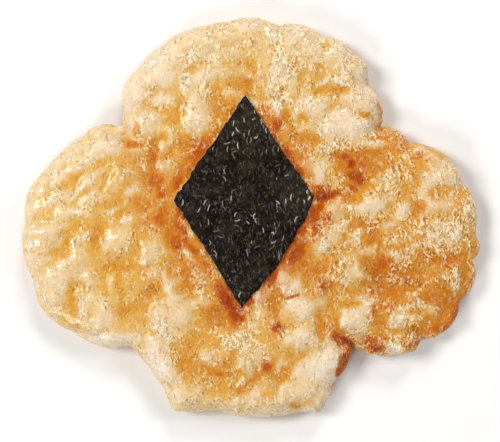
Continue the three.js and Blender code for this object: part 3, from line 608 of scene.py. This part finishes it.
def skin_of(rice):
    """The surface where the distance inside is 0, as corners and four-sided faces."""
    inside = rice.inside
    sides = np.indices((2, 2, 2)).reshape(3, -1).T
    block = tuple(n - 1 for n in inside.shape)
    corner = {}
    for i, j, k in sides:
        corner[i, j, k] = inside[i:i + block[0], j:j + block[1], k:k + block[2]]
    solid = sum((value > 0).astype(np.int8) for value in corner.values())
    cells = np.argwhere((solid > 0) & (solid < 8))
    at = {key: value[tuple(cells.T)] for key, value in corner.items()}
    total = np.zeros((len(cells), 3))
    crossings = np.zeros(len(cells))
    for axis in range(3):
        for start in sides[sides[:, axis] == 0]:
            end = start.copy()
            end[axis] = 1
            a, b = at[tuple(start)], at[tuple(end)]
            crossed = (a > 0) != (b > 0)
            share = np.where(crossed, a / np.where(crossed, a - b, 1), 0)
            total += crossed[:, None] * (start + share[:, None] * (end - start))
            crossings += crossed
    places = cells + total / crossings[:, None]
    origin = np.array([rice.flat.xs[0], rice.flat.ys[0], rice.zs[0]])
    corners = origin + places * GRID_PITCH
    number = np.full(block, -1)
    number[tuple(cells.T)] = np.arange(len(cells))
    faces = []
    for axis in range(3):
        u, v = (axis + 1) % 3, (axis + 2) % 3
        ahead = np.take(inside, range(1, inside.shape[axis]), axis=axis) > 0
        here = np.take(inside, range(inside.shape[axis] - 1), axis=axis) > 0
        for out, crossed in ((True, here & ~ahead), (False, ahead & ~here)):
            edges = np.argwhere(crossed)
            quad = []
            for du, dv in ((0, 0), (1, 0), (1, 1), (0, 1)):
                cell = edges.copy()
                cell[:, u] -= 1 - du
                cell[:, v] -= 1 - dv
                quad.append(number[tuple(cell.T)])
            faces.append(np.stack(quad if out else quad[::-1], axis=1))
    return corners, np.concatenate(faces)


def corner_normals(corners, faces):
    first, second, third, fourth = (corners[column] for column in faces.T)
    across = np.cross(third - first, fourth - second)
    normals = np.zeros_like(corners)
    for column in faces.T:
        for axis in range(3):
            normals[:, axis] += np.bincount(column, across[:, axis], len(corners))
    return normals / np.maximum(np.linalg.norm(normals, axis=1, keepdims=True), 1e-9)


def relaxed(corners, faces, share):
    """Each corner moved by that share towards the middle of the corners round it."""
    total = np.zeros_like(corners)
    count = np.zeros(len(corners))
    for column, nearby in zip(faces.T, np.roll(faces, -1, axis=1).T):
        for a, b in ((column, nearby), (nearby, column)):
            count += np.bincount(a, minlength=len(corners))
            for axis in range(3):
                total[:, axis] += np.bincount(a, corners[b, axis], len(corners))
    return mix(corners, total / count[:, None], share)


# ------------------------------------------------------------------ colour maps of the rice
class RiceTones:
    """How pale, crumbly, toasted and warm in colour the rice is over each place of its top; the toast
    also holds painted shade beside the nori and on the stem's right wall.
    """

    def __init__(self, rice):
        self.map = FlatMap(MAP_PITCH)
        x, y = self.map.x, self.map.y
        # How the top stands out from what is round it, how steep it is, and how near the rim.
        top = self.map_of(rice, rice.top())
        hump = top - blurred(top, 11)
        soft = blurred(top, 2)
        slope = np.hypot(*np.gradient(soft, MAP_PITCH)) * smoothstep(0, 1.5, self.map_of(rice, rice.rim))
        at_rim = smoothstep(2.2, 0.2, self.map_of(rice, rice.rim))
        # Paler on the top lobe and at the foot of the stem, and deeper on the right lobe.
        # The paler rim, left of the right lobe, is painted light against the shade where it rounds down.
        self.pale = 0.37 + 0.1 * rough([x, y], 2.2, 41) + 0.12 * at_rim * smoothstep(14, 6, x)
        self.pale += 0.12 * smoothstep(12, 18, y) + 0.1 * smoothstep(-21, -24, y)
        self.pale -= 0.03 * smoothstep(10, 16, x) * smoothstep(12, 9, y)
        self.pale -= 0.1 * smoothstep(8, 14, x) * smoothstep(-5, -8, y)
        self.pale -= 0.08 * smoothstep(8, 15, x) * smoothstep(12, 9, y)
        # Warmer towards the right and round the middle, and yellower on the left and top lobes.
        self.warm = 0.22 + 0.26 * smoothstep(2, 14, x) - 0.14 * smoothstep(-12, -20, x)
        self.warm -= 0.1 * smoothstep(12, 20, y)
        self.warm += 0.18 * smoothstep(14, 5, np.hypot(x, y)) + 0.12 * rough([x, y], 3.5, 45)
        # More of the grains have burst on the right than on the left.
        self.crumb = 0.6 + 0.25 * rough([x, y], 3.0, 51) - 0.25 * smoothstep(-10, -18, x)
        self.crumb += 0.25 * smoothstep(6, 14, x)
        # The glaze has pooled and browned beside the nori; the darkening there is also painted shadow at
        # the nori's edge.
        beside = -inside_distance(x, y, np.array(NORI_CORNERS))
        pooled_and_shaded = smoothstep(1.7, 0.3, beside) * (0.6 + 0.5 * rough([x, y], 1.8, 55))
        self.pale -= 0.2 * pooled_and_shaded
        self.warm += 0.45 * pooled_and_shaded
        self.toast = 0.3 * smoothstep(1.0, 0.1, beside) * np.clip(0.4 + rough([x, y], 1.5, 58), 0, 1)
        self.lay(PUFFED_GRAINS, None, 0.35)
        self.lay(CRUMBLY_GRAINS, None, 1.0)
        self.lay(AMBER_HOLLOWS, 0.12, 0.15)
        self.pale += 0.1 * np.clip(hump, -0.8, 0.8)
        self.crumb += 0.3 * smoothstep(0.2, 0.8, slope) - 0.05
        for window, strength, cover in self.covers(TOAST_AND_SHADE_SPOTS, 1.9, 1.7, 0.2):
            self.toast[window] = np.maximum(self.toast[window], strength * cover)
        for window, strength, cover in self.covers(WARM_GLOWS, 2.1, 1.9, 0.1):
            warmer = np.maximum(self.warm[window], strength)
            self.warm[window] = mix(self.warm[window], warmer, cover)

    def map_of(self, rice, values):
        return rice.flat.read(values, self.map.x, self.map.y)

    def covers(self, marks, reach, edge, middle):
        """Each mark's window, its strength, and its cover, which fades from the middle to the edge."""
        for x, y, length, width, lean, strength in marks:
            window, along, across = self.map.mark(x, y, length, width, lean, reach)
            yield window, strength, smoothstep(edge, middle, np.hypot(along, across))

    def lay(self, marks, paleness, crumbliness):
        """Gives marks their paleness, or one from their strength where it is None."""
        for window, strength, cover in self.covers(marks, 1.9, 1.6, 0.4):
            wanted = 0.38 + 0.45 * strength if paleness is None else mix(0.42, paleness, strength)
            self.pale[window] = mix(self.pale[window], wanted, cover)
            self.crumb[window] = mix(self.crumb[window], crumbliness, 0.8 * cover)

    def read(self, x, y):
        tones = (self.pale, self.crumb, self.toast, self.warm)
        return [self.map.read(values, x, y) for values in tones]


# ------------------------------------------------------------------ meshes
def piece_from(name, corners, faces):
    """A smooth-shaded mesh object from corners in millimetres and faces of one size."""
    mesh = bpy.data.meshes.new(name)
    mesh.vertices.add(len(corners))
    mesh.vertices.foreach_set("co", (corners * MM).astype(np.float32).ravel())
    mesh.loops.add(faces.size)
    mesh.loops.foreach_set("vertex_index", faces.astype(np.int32).ravel())
    mesh.polygons.add(len(faces))
    mesh.polygons.foreach_set("loop_start", np.arange(0, faces.size, faces.shape[1], dtype=np.int32))
    mesh.update(calc_edges=True)
    mesh.polygons.foreach_set("use_smooth", np.ones(len(faces), bool))
    piece = bpy.data.objects.new(name, mesh)
    bpy.context.scene.collection.objects.link(piece)
    return piece


def set_tone(piece, name, values):
    """Stores one value for each corner, for the material to read by that name."""
    tone = piece.data.attributes.new(name, "FLOAT", "POINT")
    tone.data.foreach_set("value", values.astype(np.float32))


def two_sided_map(piece, corners, faces, normals):
    """Lays the faces flat for the bake: the top and sides on the left, the underside beside them."""
    low, high = corners.min(axis=0), corners.max(axis=0)
    flat = (corners[:, :2] - low[:2]) / (high - low)[:2]
    up = normals[faces][:, :, 2].mean(axis=1) > UNDERSIDE_TILT
    spread = flat[faces.ravel()].reshape(len(faces), -1, 2)
    spread[:, :, 0] = BAKE_MARGIN + (0.5 - 2 * BAKE_MARGIN) * spread[:, :, 0]
    spread[:, :, 0] += np.where(up, 0, 0.5)[:, None]
    spread[:, :, 1] = BAKE_MARGIN + (1 - 2 * BAKE_MARGIN) * spread[:, :, 1]
    layer = piece.data.uv_layers.new(name="OFBake")
    layer.uv.foreach_set("vector", spread.astype(np.float32).ravel())


def make_cracker(rice):
    """The puffed rice with a crumbly skin, its tones shown above and plainer ones underneath."""
    corners, faces = skin_of(rice)
    for share in SMOOTHING_PASSES:
        corners = relaxed(corners, faces, share)
    normals = corner_normals(corners, faces)
    tones = RiceTones(rice)
    pale, crumb, toast, warm = tones.read(corners[:, 0], corners[:, 1])
    above = smoothstep(1.3, 3.2, corners[:, 2])
    places = list(corners.T)
    pale = mix(0.4 + 0.2 * rough(places, 2.5, 61), pale, above)
    crumb = mix(0.4 + 0.3 * rough(places, 2.0, 64), crumb, above)
    toast = mix(0.12 + 0.2 * np.clip(rough(places, 4.0, 67), 0, 1), toast, above)
    warm = mix(0.4 + 0.3 * rough(places, 5.0, 69), warm, above)
    crumb = np.clip(crumb, 0, 1)
    # The crumbly skin is foamy and crusty; the smooth skin only swells a little.
    foam = bubbles(places, 0.75, 71) - 0.5
    crust = rough(places, 0.6, 74)
    lift = crumb * (FOAM_LIFT * foam + CRUST_LIFT * crust)
    lift += (1 - crumb) * SMOOTH_LIFT * rough(places, 1.3, 77)
    lift *= smoothstep(0.0, 0.5, corners[:, 2])
    corners = corners + normals * lift[:, None]
    corners[:, 2] = np.maximum(corners[:, 2], 0)
    piece = piece_from("puffed_rice_body", corners, faces)
    for name, values in (("pale", pale), ("crumb", crumb), ("toast", toast), ("warm", warm)):
        set_tone(piece, name, values)
    two_sided_map(piece, corners, faces, normals)
    return piece


# ------------------------------------------------------------------ the nori
def highest_near(values, radius):
    """The highest value within that many cells, along each axis in turn."""
    for axis in (0, 1):
        padded = bordered(values, axis, radius, radius)
        size = values.shape[axis]
        shifts = [np.take(padded, range(s, s + size), axis=axis) for s in range(2 * radius + 1)]
        values = np.maximum.reduce(shifts)
    return values


def make_nori(rice):
    """A thin sheet draped over the grains, with pits, fibres and a slightly ragged cut edge."""
    top, left, bottom, right = (np.array(corner) for corner in NORI_CORNERS)
    count = int(round(np.linalg.norm(top - left) / NORI_CELL)) + 1
    share = np.linspace(0, 1, count)
    u, v = np.meshgrid(share, share, indexing="ij")
    start = top + (left - top) * u[..., None]
    end = right + (bottom - right) * u[..., None]
    x, y = np.moveaxis(start + (end - start) * v[..., None], 2, 0)
    out = np.array([right[1] - bottom[1], bottom[0] - right[0]]) / np.linalg.norm(right - bottom)
    bulge = NORI_BULGE * 4 * u * (1 - u) * (1.25 - 0.5 * u) * v**4
    x, y = x + out[0] * bulge, y + out[1] * bulge
    edge = np.minimum(np.minimum(u, 1 - u), np.minimum(v, 1 - v)) * (count - 1) * NORI_CELL
    ragged = smoothstep(0.8, 0, edge)
    shifts = [0.07 * rough([x, y], 0.5, seed) + 0.12 * lumps([x, y], 1.6, seed + 1) for seed in (81, 84)]
    x, y = x + ragged * shifts[0], y + ragged * shifts[1]
    rest = blurred(highest_near(rice.top(), 3), 4)
    height = rice.flat.read(rest, x, y) + NORI_CLEARANCE
    pits = rough([x, y], 0.55, 91)
    fibres = nori_fibres(x, y)
    waves = NORI_WAVES * rough([x, y], 2.5, 94)
    face = height + NORI_THICKNESS + PIT_DEPTH * pits + FIBRE_RISE * fibres + waves
    edge_down = smoothstep(0.25, 0, edge) * NORI_EDGE_DROP
    upper = np.stack([x, y, face - edge_down], axis=2).reshape(-1, 3)
    lower = np.stack([x, y, height + 0.02 * pits], axis=2).reshape(-1, 3)
    number = np.arange(count * count).reshape(count, count)
    quads = [number[:-1, :-1], number[1:, :-1], number[1:, 1:], number[:-1, 1:]]
    up = np.stack([q.ravel() for q in quads], axis=1)
    down = up[:, ::-1] + count * count
    round_edge = np.concatenate([number[:-1, 0], number[-1, :-1], number[:0:-1, -1], number[0, :0:-1]])
    after = np.roll(round_edge, -1)
    side = np.stack([round_edge, round_edge + count * count, after + count * count, after], axis=1)
    piece = piece_from("nori_sheet", np.concatenate([upper, lower]), np.concatenate([up, down, side]))
    set_tone(piece, "fibre", np.concatenate([fibres.ravel(), 0.3 * fibres.ravel()]))
    set_tone(piece, "worn", np.tile(sheen_share(x, y).ravel(), 2))
    return piece


def sheen_share(x, y):
    """How much painted sheen the nori has at x and y: up to 1 where it is lighter, negative where it is
    darker.
    """
    worn = 0
    for x0, y0, reach, share in SHEEN_PLACES:
        worn = worn + share * np.exp(-((x - x0) ** 2 + (y - y0) ** 2) / reach**2)
    return worn


def nori_fibres(x, y):
    """Short raised fibres, most of them lying towards the stem, from 0 to 1."""
    draw = np.random.default_rng(FIBRE_SEED)
    fibres = list(GLINTING_FIBRES)
    for _ in range(LOOSE_FIBRES):
        crossing = draw.random() < 0.2
        lean = draw.normal(15, 30) if crossing else draw.normal(92, 24)
        cx, cy = draw.uniform(*FIBRE_SPAN_X), draw.uniform(*FIBRE_SPAN_Y)
        lush = smoothstep(-0.6, 0.6, lumps([np.array([cx]), np.array([cy])], 1.8, 97)[0])
        lush = max(0.1, lush + 0.5 * sheen_share(cx, cy))
        height = lush * (0.06 + 0.94 * draw.random() ** 3.5)
        fibres.append((cx, cy, draw.uniform(0.12, 0.5), draw.uniform(0.03, 0.05), lean, height))
    raised = np.zeros_like(x)
    for cx, cy, length, width, lean, height in fibres:
        c, s = math.cos(math.radians(lean)), math.sin(math.radians(lean))
        bow = draw.uniform(-0.16, 0.16)
        near = np.nonzero((np.abs(x - cx) < FIBRE_REACH) & (np.abs(y - cy) < FIBRE_REACH))
        dx, dy = x[near] - cx, y[near] - cy
        along = (dx * c + dy * s) / length
        across = (dy * c - dx * s + bow * along**2) / width
        ridge = height * np.exp(-(across**2)) * smoothstep(1.1, 0.6, np.abs(along))
        raised[near] = np.maximum(raised[near], ridge)
    return raised


# ------------------------------------------------------------------ shader arithmetic
class Value:
    """A socket of a surface. Arithmetic on it adds Math nodes."""

    def __init__(self, surface, socket):
        self.surface = surface
        self.socket = socket

    def math(self, operation, *others, clamp=False):
        values = dict(enumerate((self, *others)))
        return self.surface.node("ShaderNodeMath", {"operation": operation, "use_clamp": clamp}, values)

    def __add__(self, other):
        return self.math("ADD", other)

    def __sub__(self, other):
        return self.math("SUBTRACT", other)

    def __rsub__(self, other):
        return self.surface.node("ShaderNodeMath", {"operation": "SUBTRACT"}, {0: other, 1: self})

    def __mul__(self, other):
        return self.math("MULTIPLY", other)

    __radd__ = __add__
    __rmul__ = __mul__

    def clamped(self):
        return self.math("ADD", 0, clamp=True)

    def step(self, low, high):
        """0 below low and 1 above high, eased between; low may be the larger."""
        settings = {"interpolation_type": "SMOOTHSTEP"}
        sockets = {"Value": self, "From Min": low, "From Max": high}
        return self.surface.node("ShaderNodeMapRange", settings, sockets)


class Surface:
    """A procedural material, built node by node."""

    def __init__(self, name):
        self.material = bpy.data.materials.new(name)
        self.material.use_nodes = True
        self.tree = self.material.node_tree
        self.tree.nodes.clear()

    def node(self, kind, settings=None, sockets=None, out=0):
        """Adds a node, sets it up, feeds its sockets, and gives back one of its outputs."""
        made = self.tree.nodes.new(kind)
        for name, value in (settings or {}).items():
            if name == "stops":
                self.set_stops(made.color_ramp, value)
            else:
                setattr(made, name, value)
        for name, value in (sockets or {}).items():
            socket = self.find(made.inputs, name)
            if isinstance(value, Value):
                self.tree.links.new(value.socket, socket)
            else:
                socket.default_value = value
        return Value(self, self.find(made.outputs, out)) if made.outputs else None

    @staticmethod
    def find(sockets, name):
        """The socket with that number, or the one in use with that name."""
        if isinstance(name, int):
            return sockets[name]
        return next(socket for socket in sockets if socket.name == name and socket.enabled)

    @staticmethod
    def set_stops(ramp, stops):
        while len(ramp.elements) < len(stops):
            ramp.elements.new(1)
        for element, (place, shade) in zip(ramp.elements, stops):
            element.position = place
            element.color = shade

    def tone(self, name):
        """The value that set_tone stored by that name."""
        return self.node("ShaderNodeAttribute", {"attribute_name": name}, out="Fac")

    def place(self):
        """The place on the piece, in millimetres, as all sizes of the patterns are."""
        here = self.node("ShaderNodeTexCoord", out="Object")
        scaled = {0: here, "Scale": 1 / MM}
        return self.node("ShaderNodeVectorMath", {"operation": "SCALE"}, scaled)

    def part(self, vector, axis):
        return self.node("ShaderNodeSeparateXYZ", {}, {"Vector": vector}, out=axis)

    def stretched(self, vector, stretch):
        return self.node("ShaderNodeVectorMath", {"operation": "MULTIPLY"}, {0: vector, 1: stretch})

    def swayed(self, vector, size, sway):
        """A place pushed about by a broader noise, so that a pattern on it curls."""
        broad = {"Vector": vector, "Scale": 1 / size, "Detail": 2}
        push = self.node("ShaderNodeTexNoise", {}, broad, out="Color")
        centred = self.node("ShaderNodeVectorMath", {"operation": "SUBTRACT"}, {0: push, 1: (0.5,) * 3})
        pushed = {0: centred, 1: (sway,) * 3, 2: vector}
        return self.node("ShaderNodeVectorMath", {"operation": "MULTIPLY_ADD"}, pushed)

    def noise(self, vector, size, detail=2, roughness=0.5):
        """Noise from 0 to 1 whose lumps are about size millimetres wide."""
        sockets = {"Vector": vector, "Scale": 1 / size, "Detail": detail, "Roughness": roughness}
        return self.node("ShaderNodeTexNoise", {}, sockets)

    def lying_in_patches(self, vector, size, spread):
        """A place turned its own way in each patch, by up to a quarter turn times the spread."""
        turn = self.node("ShaderNodeTexVoronoi", {}, {"Vector": vector, "Scale": 1 / size}, out="Color")
        turned = {"Vector": vector, "Angle": (self.part(turn, "X") - 0.5) * (math.pi * spread)}
        return self.node("ShaderNodeVectorRotate", {"rotation_type": "Z_AXIS"}, turned)

    def drawn_out(self, vector, patch, spread, stretch, size, detail=1):
        """Noise drawn out into bits that lie their own way in each patch."""
        lying = self.stretched(self.lying_in_patches(vector, patch, spread), (1.0, stretch, 1.0))
        return self.noise(lying, size, detail)

    @staticmethod
    def contour(value, level, width):
        """A thin line where a value passes a level."""
        return 1 - ((value - level) * (1 / width)).math("ABSOLUTE").math("MINIMUM", 1)

    def ramp(self, value, stops):
        """The colour that the stops, each a value and a colour, give a value."""
        return self.node("ShaderNodeValToRGB", {"stops": stops}, {"Fac": value})

    def blend(self, first, second, share, how="MIX"):
        settings = {"data_type": "RGBA", "blend_type": how}
        sockets = {"Factor": share, "A": first, "B": second}
        return self.node("ShaderNodeMix", settings, sockets, out="Result")

    def finish(self, sockets):
        shader = self.node("ShaderNodeBsdfPrincipled", {}, sockets)
        self.node("ShaderNodeOutputMaterial", {}, {"Surface": shader})
        return self.material


def colour(red, green, blue):
    """An opaque linear colour from the usual 0 to 255 steps of a screen."""
    return (*(((step / 255 + 0.055) / 1.055) ** 2.4 for step in (red, green, blue)), 1)


# ------------------------------------------------------------------ materials
# The tint of all the rice, the painted shade of its creases, and the colour of its painted glints.
RICE_TINT = (0.925, 0.875, 0.805, 1)
CREASE_SHADE = (0.5, 0.38, 0.26, 1)
GLINT_SHADE = (0.97, 0.64, 0.42, 1)


def glazed_rice():
    """Cream to amber rice with burst flakes and browned spots under a thin glaze, with painted glints and
    painted crease shade on the flakes and painted shade in some of the toast.
    """
    rice = Surface("glazed_rice")
    place = rice.place()
    pale, crumb, toast, warm = (rice.tone(name) for name in ("pale", "crumb", "toast", "warm"))
    curly = rice.swayed(place, 0.9, 0.2)
    beds = rice.drawn_out(place, 5.0, 0.5, 0.55, 0.9, 2)
    burst = (beds + (crumb - 0.5) * 0.45).step(0.41, 0.68) * (1 - 0.5 * toast)
    flakes = rice.drawn_out(curly, 1.5, 0.25, 0.25, 0.4)
    slivers = rice.drawn_out(curly, 0.9, 0.3, 0.35, 0.28)
    folds = rice.drawn_out(place, 3.0, 0.7, 0.5, 0.8)
    gate = rice.noise(place, 0.7, 1)
    breaks = rice.noise(place, 0.4, 1)
    grit = rice.noise(place, 0.24, 3, 0.65)
    mottle = rice.noise(place, 1.1, 3, 0.55)
    # Painted light on the flakes: lit edges, slivers, specks and arcs are painted glints, and dark edges,
    # dints and shadows are painted shade in the creases beside them.
    lit_edges = rice.contour(flakes, 0.53, 0.1) * breaks.step(0.42, 0.52)
    dark_edges = rice.contour(flakes, 0.43, 0.08) * breaks.step(0.6, 0.46)
    arcs = rice.contour(folds, 0.5, 0.045) * gate.step(0.47, 0.55)
    shadows = rice.contour(folds, 0.565, 0.045) * gate.step(0.47, 0.55)
    specks = grit.step(0.56, 0.74) * 0.35
    dint_shade = grit.step(0.44, 0.26) * 0.35
    glints = (lit_edges + slivers.step(0.59, 0.68) + specks) * (0.1 + 0.9 * burst)
    glints = (glints + arcs * (0.35 - 0.3 * toast)).clamped()
    painted_crease_shade = (dark_edges + slivers.step(0.42, 0.33) * 0.5 + dint_shade) * (0.15 + 0.85 * burst)
    painted_crease_shade = (painted_crease_shade + shadows * 0.3).clamped()
    fleck_and_painted_light = (glints - painted_crease_shade) * 0.06 + (grit - 0.5) * (0.08 + 0.1 * burst)
    paleness = (pale + (mottle - 0.5) * 0.25 + fleck_and_painted_light).clamped()
    yellow = rice.ramp(paleness, (
        (0.0, colour(221, 145, 18)), (0.2, colour(231, 173, 56)), (0.42, colour(235, 194, 106)),
        (0.65, colour(240, 213, 160)), (0.85, colour(249, 231, 202)), (1.0, colour(255, 245, 230)),
    ))
    brown = rice.ramp(paleness, (
        (0.0, colour(194, 97, 4)), (0.2, colour(214, 136, 28)), (0.42, colour(221, 161, 76)),
        (0.65, colour(231, 196, 148)), (0.85, colour(245, 223, 192)), (1.0, colour(255, 243, 228)),
    ))
    skin = rice.blend(yellow, brown, (warm + (mottle - 0.5) * 0.3).clamped())
    browning_and_shade = (toast + (mottle - 0.5) * 0.5 * toast.step(0, 0.3)).clamped()
    scorch_and_shade = rice.ramp(browning_and_shade, (
        (0.0, colour(222, 146, 30)), (0.35, colour(211, 119, 3)), (0.65, colour(191, 91, 0)),
        (1.0, colour(162, 59, 0)),
    ))
    skin = rice.blend(skin, scorch_and_shade, browning_and_shade.step(0.05, 0.55))
    skin = rice.blend(skin, RICE_TINT, 1.0, "MULTIPLY")
    # Painted shade darkens the creases, and painted glints lighten the flakes.
    skin = rice.blend(skin, CREASE_SHADE, painted_crease_shade * (1.16 - 0.5 * pale), "MULTIPLY")
    skin = rice.blend(skin, GLINT_SHADE, glints * (1.1 - 0.8 * toast), "SCREEN")
    height = (flakes + slivers * 0.6) * (0.3 + 0.7 * burst) + (arcs - shadows) * 0.3 + grit * 0.7
    bump = rice.node("ShaderNodeBump", {}, {"Strength": 1.0, "Distance": 0.16 * MM, "Height": height})
    rough_skin = 0.3 + 0.1 * crumb + (grit - 0.5) * 0.3
    return rice.finish({
        "Base Color": skin, "Roughness": rough_skin.clamped(), "Normal": bump, "Specular IOR Level": 0.08,
        "Subsurface Weight": 0.55, "Subsurface Radius": (1.0, 0.82, 0.6), "Subsurface Scale": 1.2 * MM,
        "Coat Weight": (0.36 - 0.6 * toast).clamped(), "Coat Roughness": 0.08, "IOR": 1.45,
    })


def dried_seaweed():
    """Nearly black with brown, green and blue in it, with a painted grey sheen in places, and pale fibres
    whose near-white colour is partly painted glint.
    """
    nori = Surface("dried_seaweed")
    place = nori.place()
    fibre, worn = nori.tone("fibre"), nori.tone("worn")
    mottle = nori.noise(place, 2.0, 4, 0.6)
    pits = nori.noise(place, 0.3, 3, 0.65)
    lying = nori.stretched(nori.swayed(place, 0.8, 0.3), (1.0, 0.3, 1.0))
    streaks = nori.noise(lying, 0.3, 2)
    hairs = nori.contour(nori.noise(lying, 0.4, 1), 0.5, 0.045)
    hairs = hairs * nori.noise(place, 0.6, 1).step(0.48, 0.6)
    dark = nori.ramp(mottle, (
        (0.3, colour(14, 7, 5)), (0.5, colour(22, 14, 10)),
        (0.62, colour(38, 28, 21)), (0.76, colour(60, 48, 38)),
    ))
    # A painted grey sheen where the sheen tone is high, and darker where it is negative.
    dark = nori.blend(dark, colour(60, 51, 43), (worn * 0.4).clamped())
    dark = nori.blend(dark, colour(12, 8, 6), (worn * -0.8).clamped())
    tint = nori.noise(place, 1.3, 2)
    dark = nori.blend(dark, colour(38, 38, 20), tint.step(0.54, 0.68) * 0.5)
    dark = nori.blend(dark, colour(24, 25, 32), tint.step(0.46, 0.34) * 0.5)
    specks = pits.step(0.52, 0.7) * 0.35 + streaks.step(0.56, 0.7) * 0.35
    speckled = nori.blend(dark, colour(72, 60, 49), specks)
    speckled = nori.blend(speckled, colour(132, 122, 104), hairs * 0.35)
    # The fibres are pale, and their near-white colour is partly painted glint.
    lit = nori.blend(speckled, colour(238, 228, 210), (fibre * (0.5 + 0.7 * pits)).clamped())
    height = fibre * 0.5 + pits * 0.3 + streaks * 0.3
    bump = nori.node("ShaderNodeBump", {}, {"Strength": 0.8, "Distance": 0.1 * MM, "Height": height})
    return nori.finish({
        "Base Color": lit, "Roughness": (0.45 + (pits - 0.5) * 0.3).clamped(), "Normal": bump,
        "Specular IOR Level": 0.05, "Coat Weight": (fibre * 0.4).clamped(), "Coat Roughness": 0.25,
    })


def plain(name, shade, roughness):
    surface = Surface(name)
    return surface.finish({"Base Color": shade, "Roughness": roughness})


# ------------------------------------------------------------------ the pieces
line = rim_line()
rice = carve_rice(line)

cracker = make_cracker(rice)
cracker.data.materials.append(glazed_rice())
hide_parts("cracker")
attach(cracker, "root")

nori = make_nori(rice)
nori.data.materials.append(dried_seaweed())
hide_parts("nori")
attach(nori, "root")


# ------------------------------------------------------------------ the stage
FLOOR_SIZE = 4.0
LENS = 100.0
SENSOR = 36.0

# The image's width and height and the place of the cracker's middle in it, in pixels from the top
# left. The cracker's 58 mm take up 458 of them.
IMAGE_SIZE = (500, 442)
IMAGE_MIDDLE = (250.5, 217.5)
METRES_PER_PIXEL = 58 / 458 * MM

SKY_STRENGTH = 0.155
WHITE = (1.0, 1.0, 1.0)
WARM_WHITE = (1.0, 0.98, 0.97)

# Each lamp's name, place and size in metres, power in watts, and colour.
LAMPS = (
    ("key", (-0.40, 0.12, 0.52), 0.2, 2.4, WARM_WHITE),
    ("right_fill", (0.45, 0.2, 0.42), 0.18, 1.06, WARM_WHITE),
    ("top_fill", (0.1, 0.5, 0.4), 0.18, 1.44, WHITE),
    ("front_fill", (-0.3, -0.42, 0.42), 0.18, 1.44, WHITE),
)


def lay_floor():
    bpy.ops.mesh.primitive_plane_add(size=FLOOR_SIZE)
    floor = bpy.context.object
    floor.name = "table"
    floor.data.materials.append(plain("pale_table", colour(246, 246, 245), 0.6))


def hang_light(name, place, size, power, shade):
    """A square soft light that looks at the cracker."""
    light = bpy.data.lights.new(name, "AREA")
    light.size = size
    light.energy = power
    light.color = shade
    lamp = bpy.data.objects.new(name, light)
    lamp.location = place
    lamp.rotation_mode = "QUATERNION"
    lamp.rotation_quaternion = Vector(place).to_track_quat("Z", "Y")
    bpy.context.scene.collection.objects.link(lamp)


def set_camera():
    """Looks straight down, with the middle of the image a little below the cracker's middle."""
    camera = bpy.data.cameras.new("camera")
    camera.lens = LENS
    camera.sensor_width = SENSOR
    distance = IMAGE_SIZE[0] * METRES_PER_PIXEL * LENS / SENSOR
    middle_x = (IMAGE_SIZE[0] / 2 - IMAGE_MIDDLE[0]) * METRES_PER_PIXEL
    middle_y = (IMAGE_MIDDLE[1] - IMAGE_SIZE[1] / 2) * METRES_PER_PIXEL
    rig = bpy.data.objects.new("camera", camera)
    rig.location = (middle_x, middle_y, distance + RIM_HEIGHT * MM)
    camera.clip_start = 0.01
    bpy.context.scene.collection.objects.link(rig)
    bpy.context.scene.camera = rig


def light_the_studio():
    world = bpy.data.worlds.new("studio")
    world.use_nodes = True
    sky = world.node_tree.nodes["Background"]
    sky.inputs["Color"].default_value = (*WHITE, 1)
    sky.inputs["Strength"].default_value = SKY_STRENGTH
    bpy.context.scene.world = world
    for lamp in LAMPS:
        hang_light(*lamp)


lay_floor()
light_the_studio()
set_camera()
bpy.context.scene.view_settings.view_transform = "Standard"
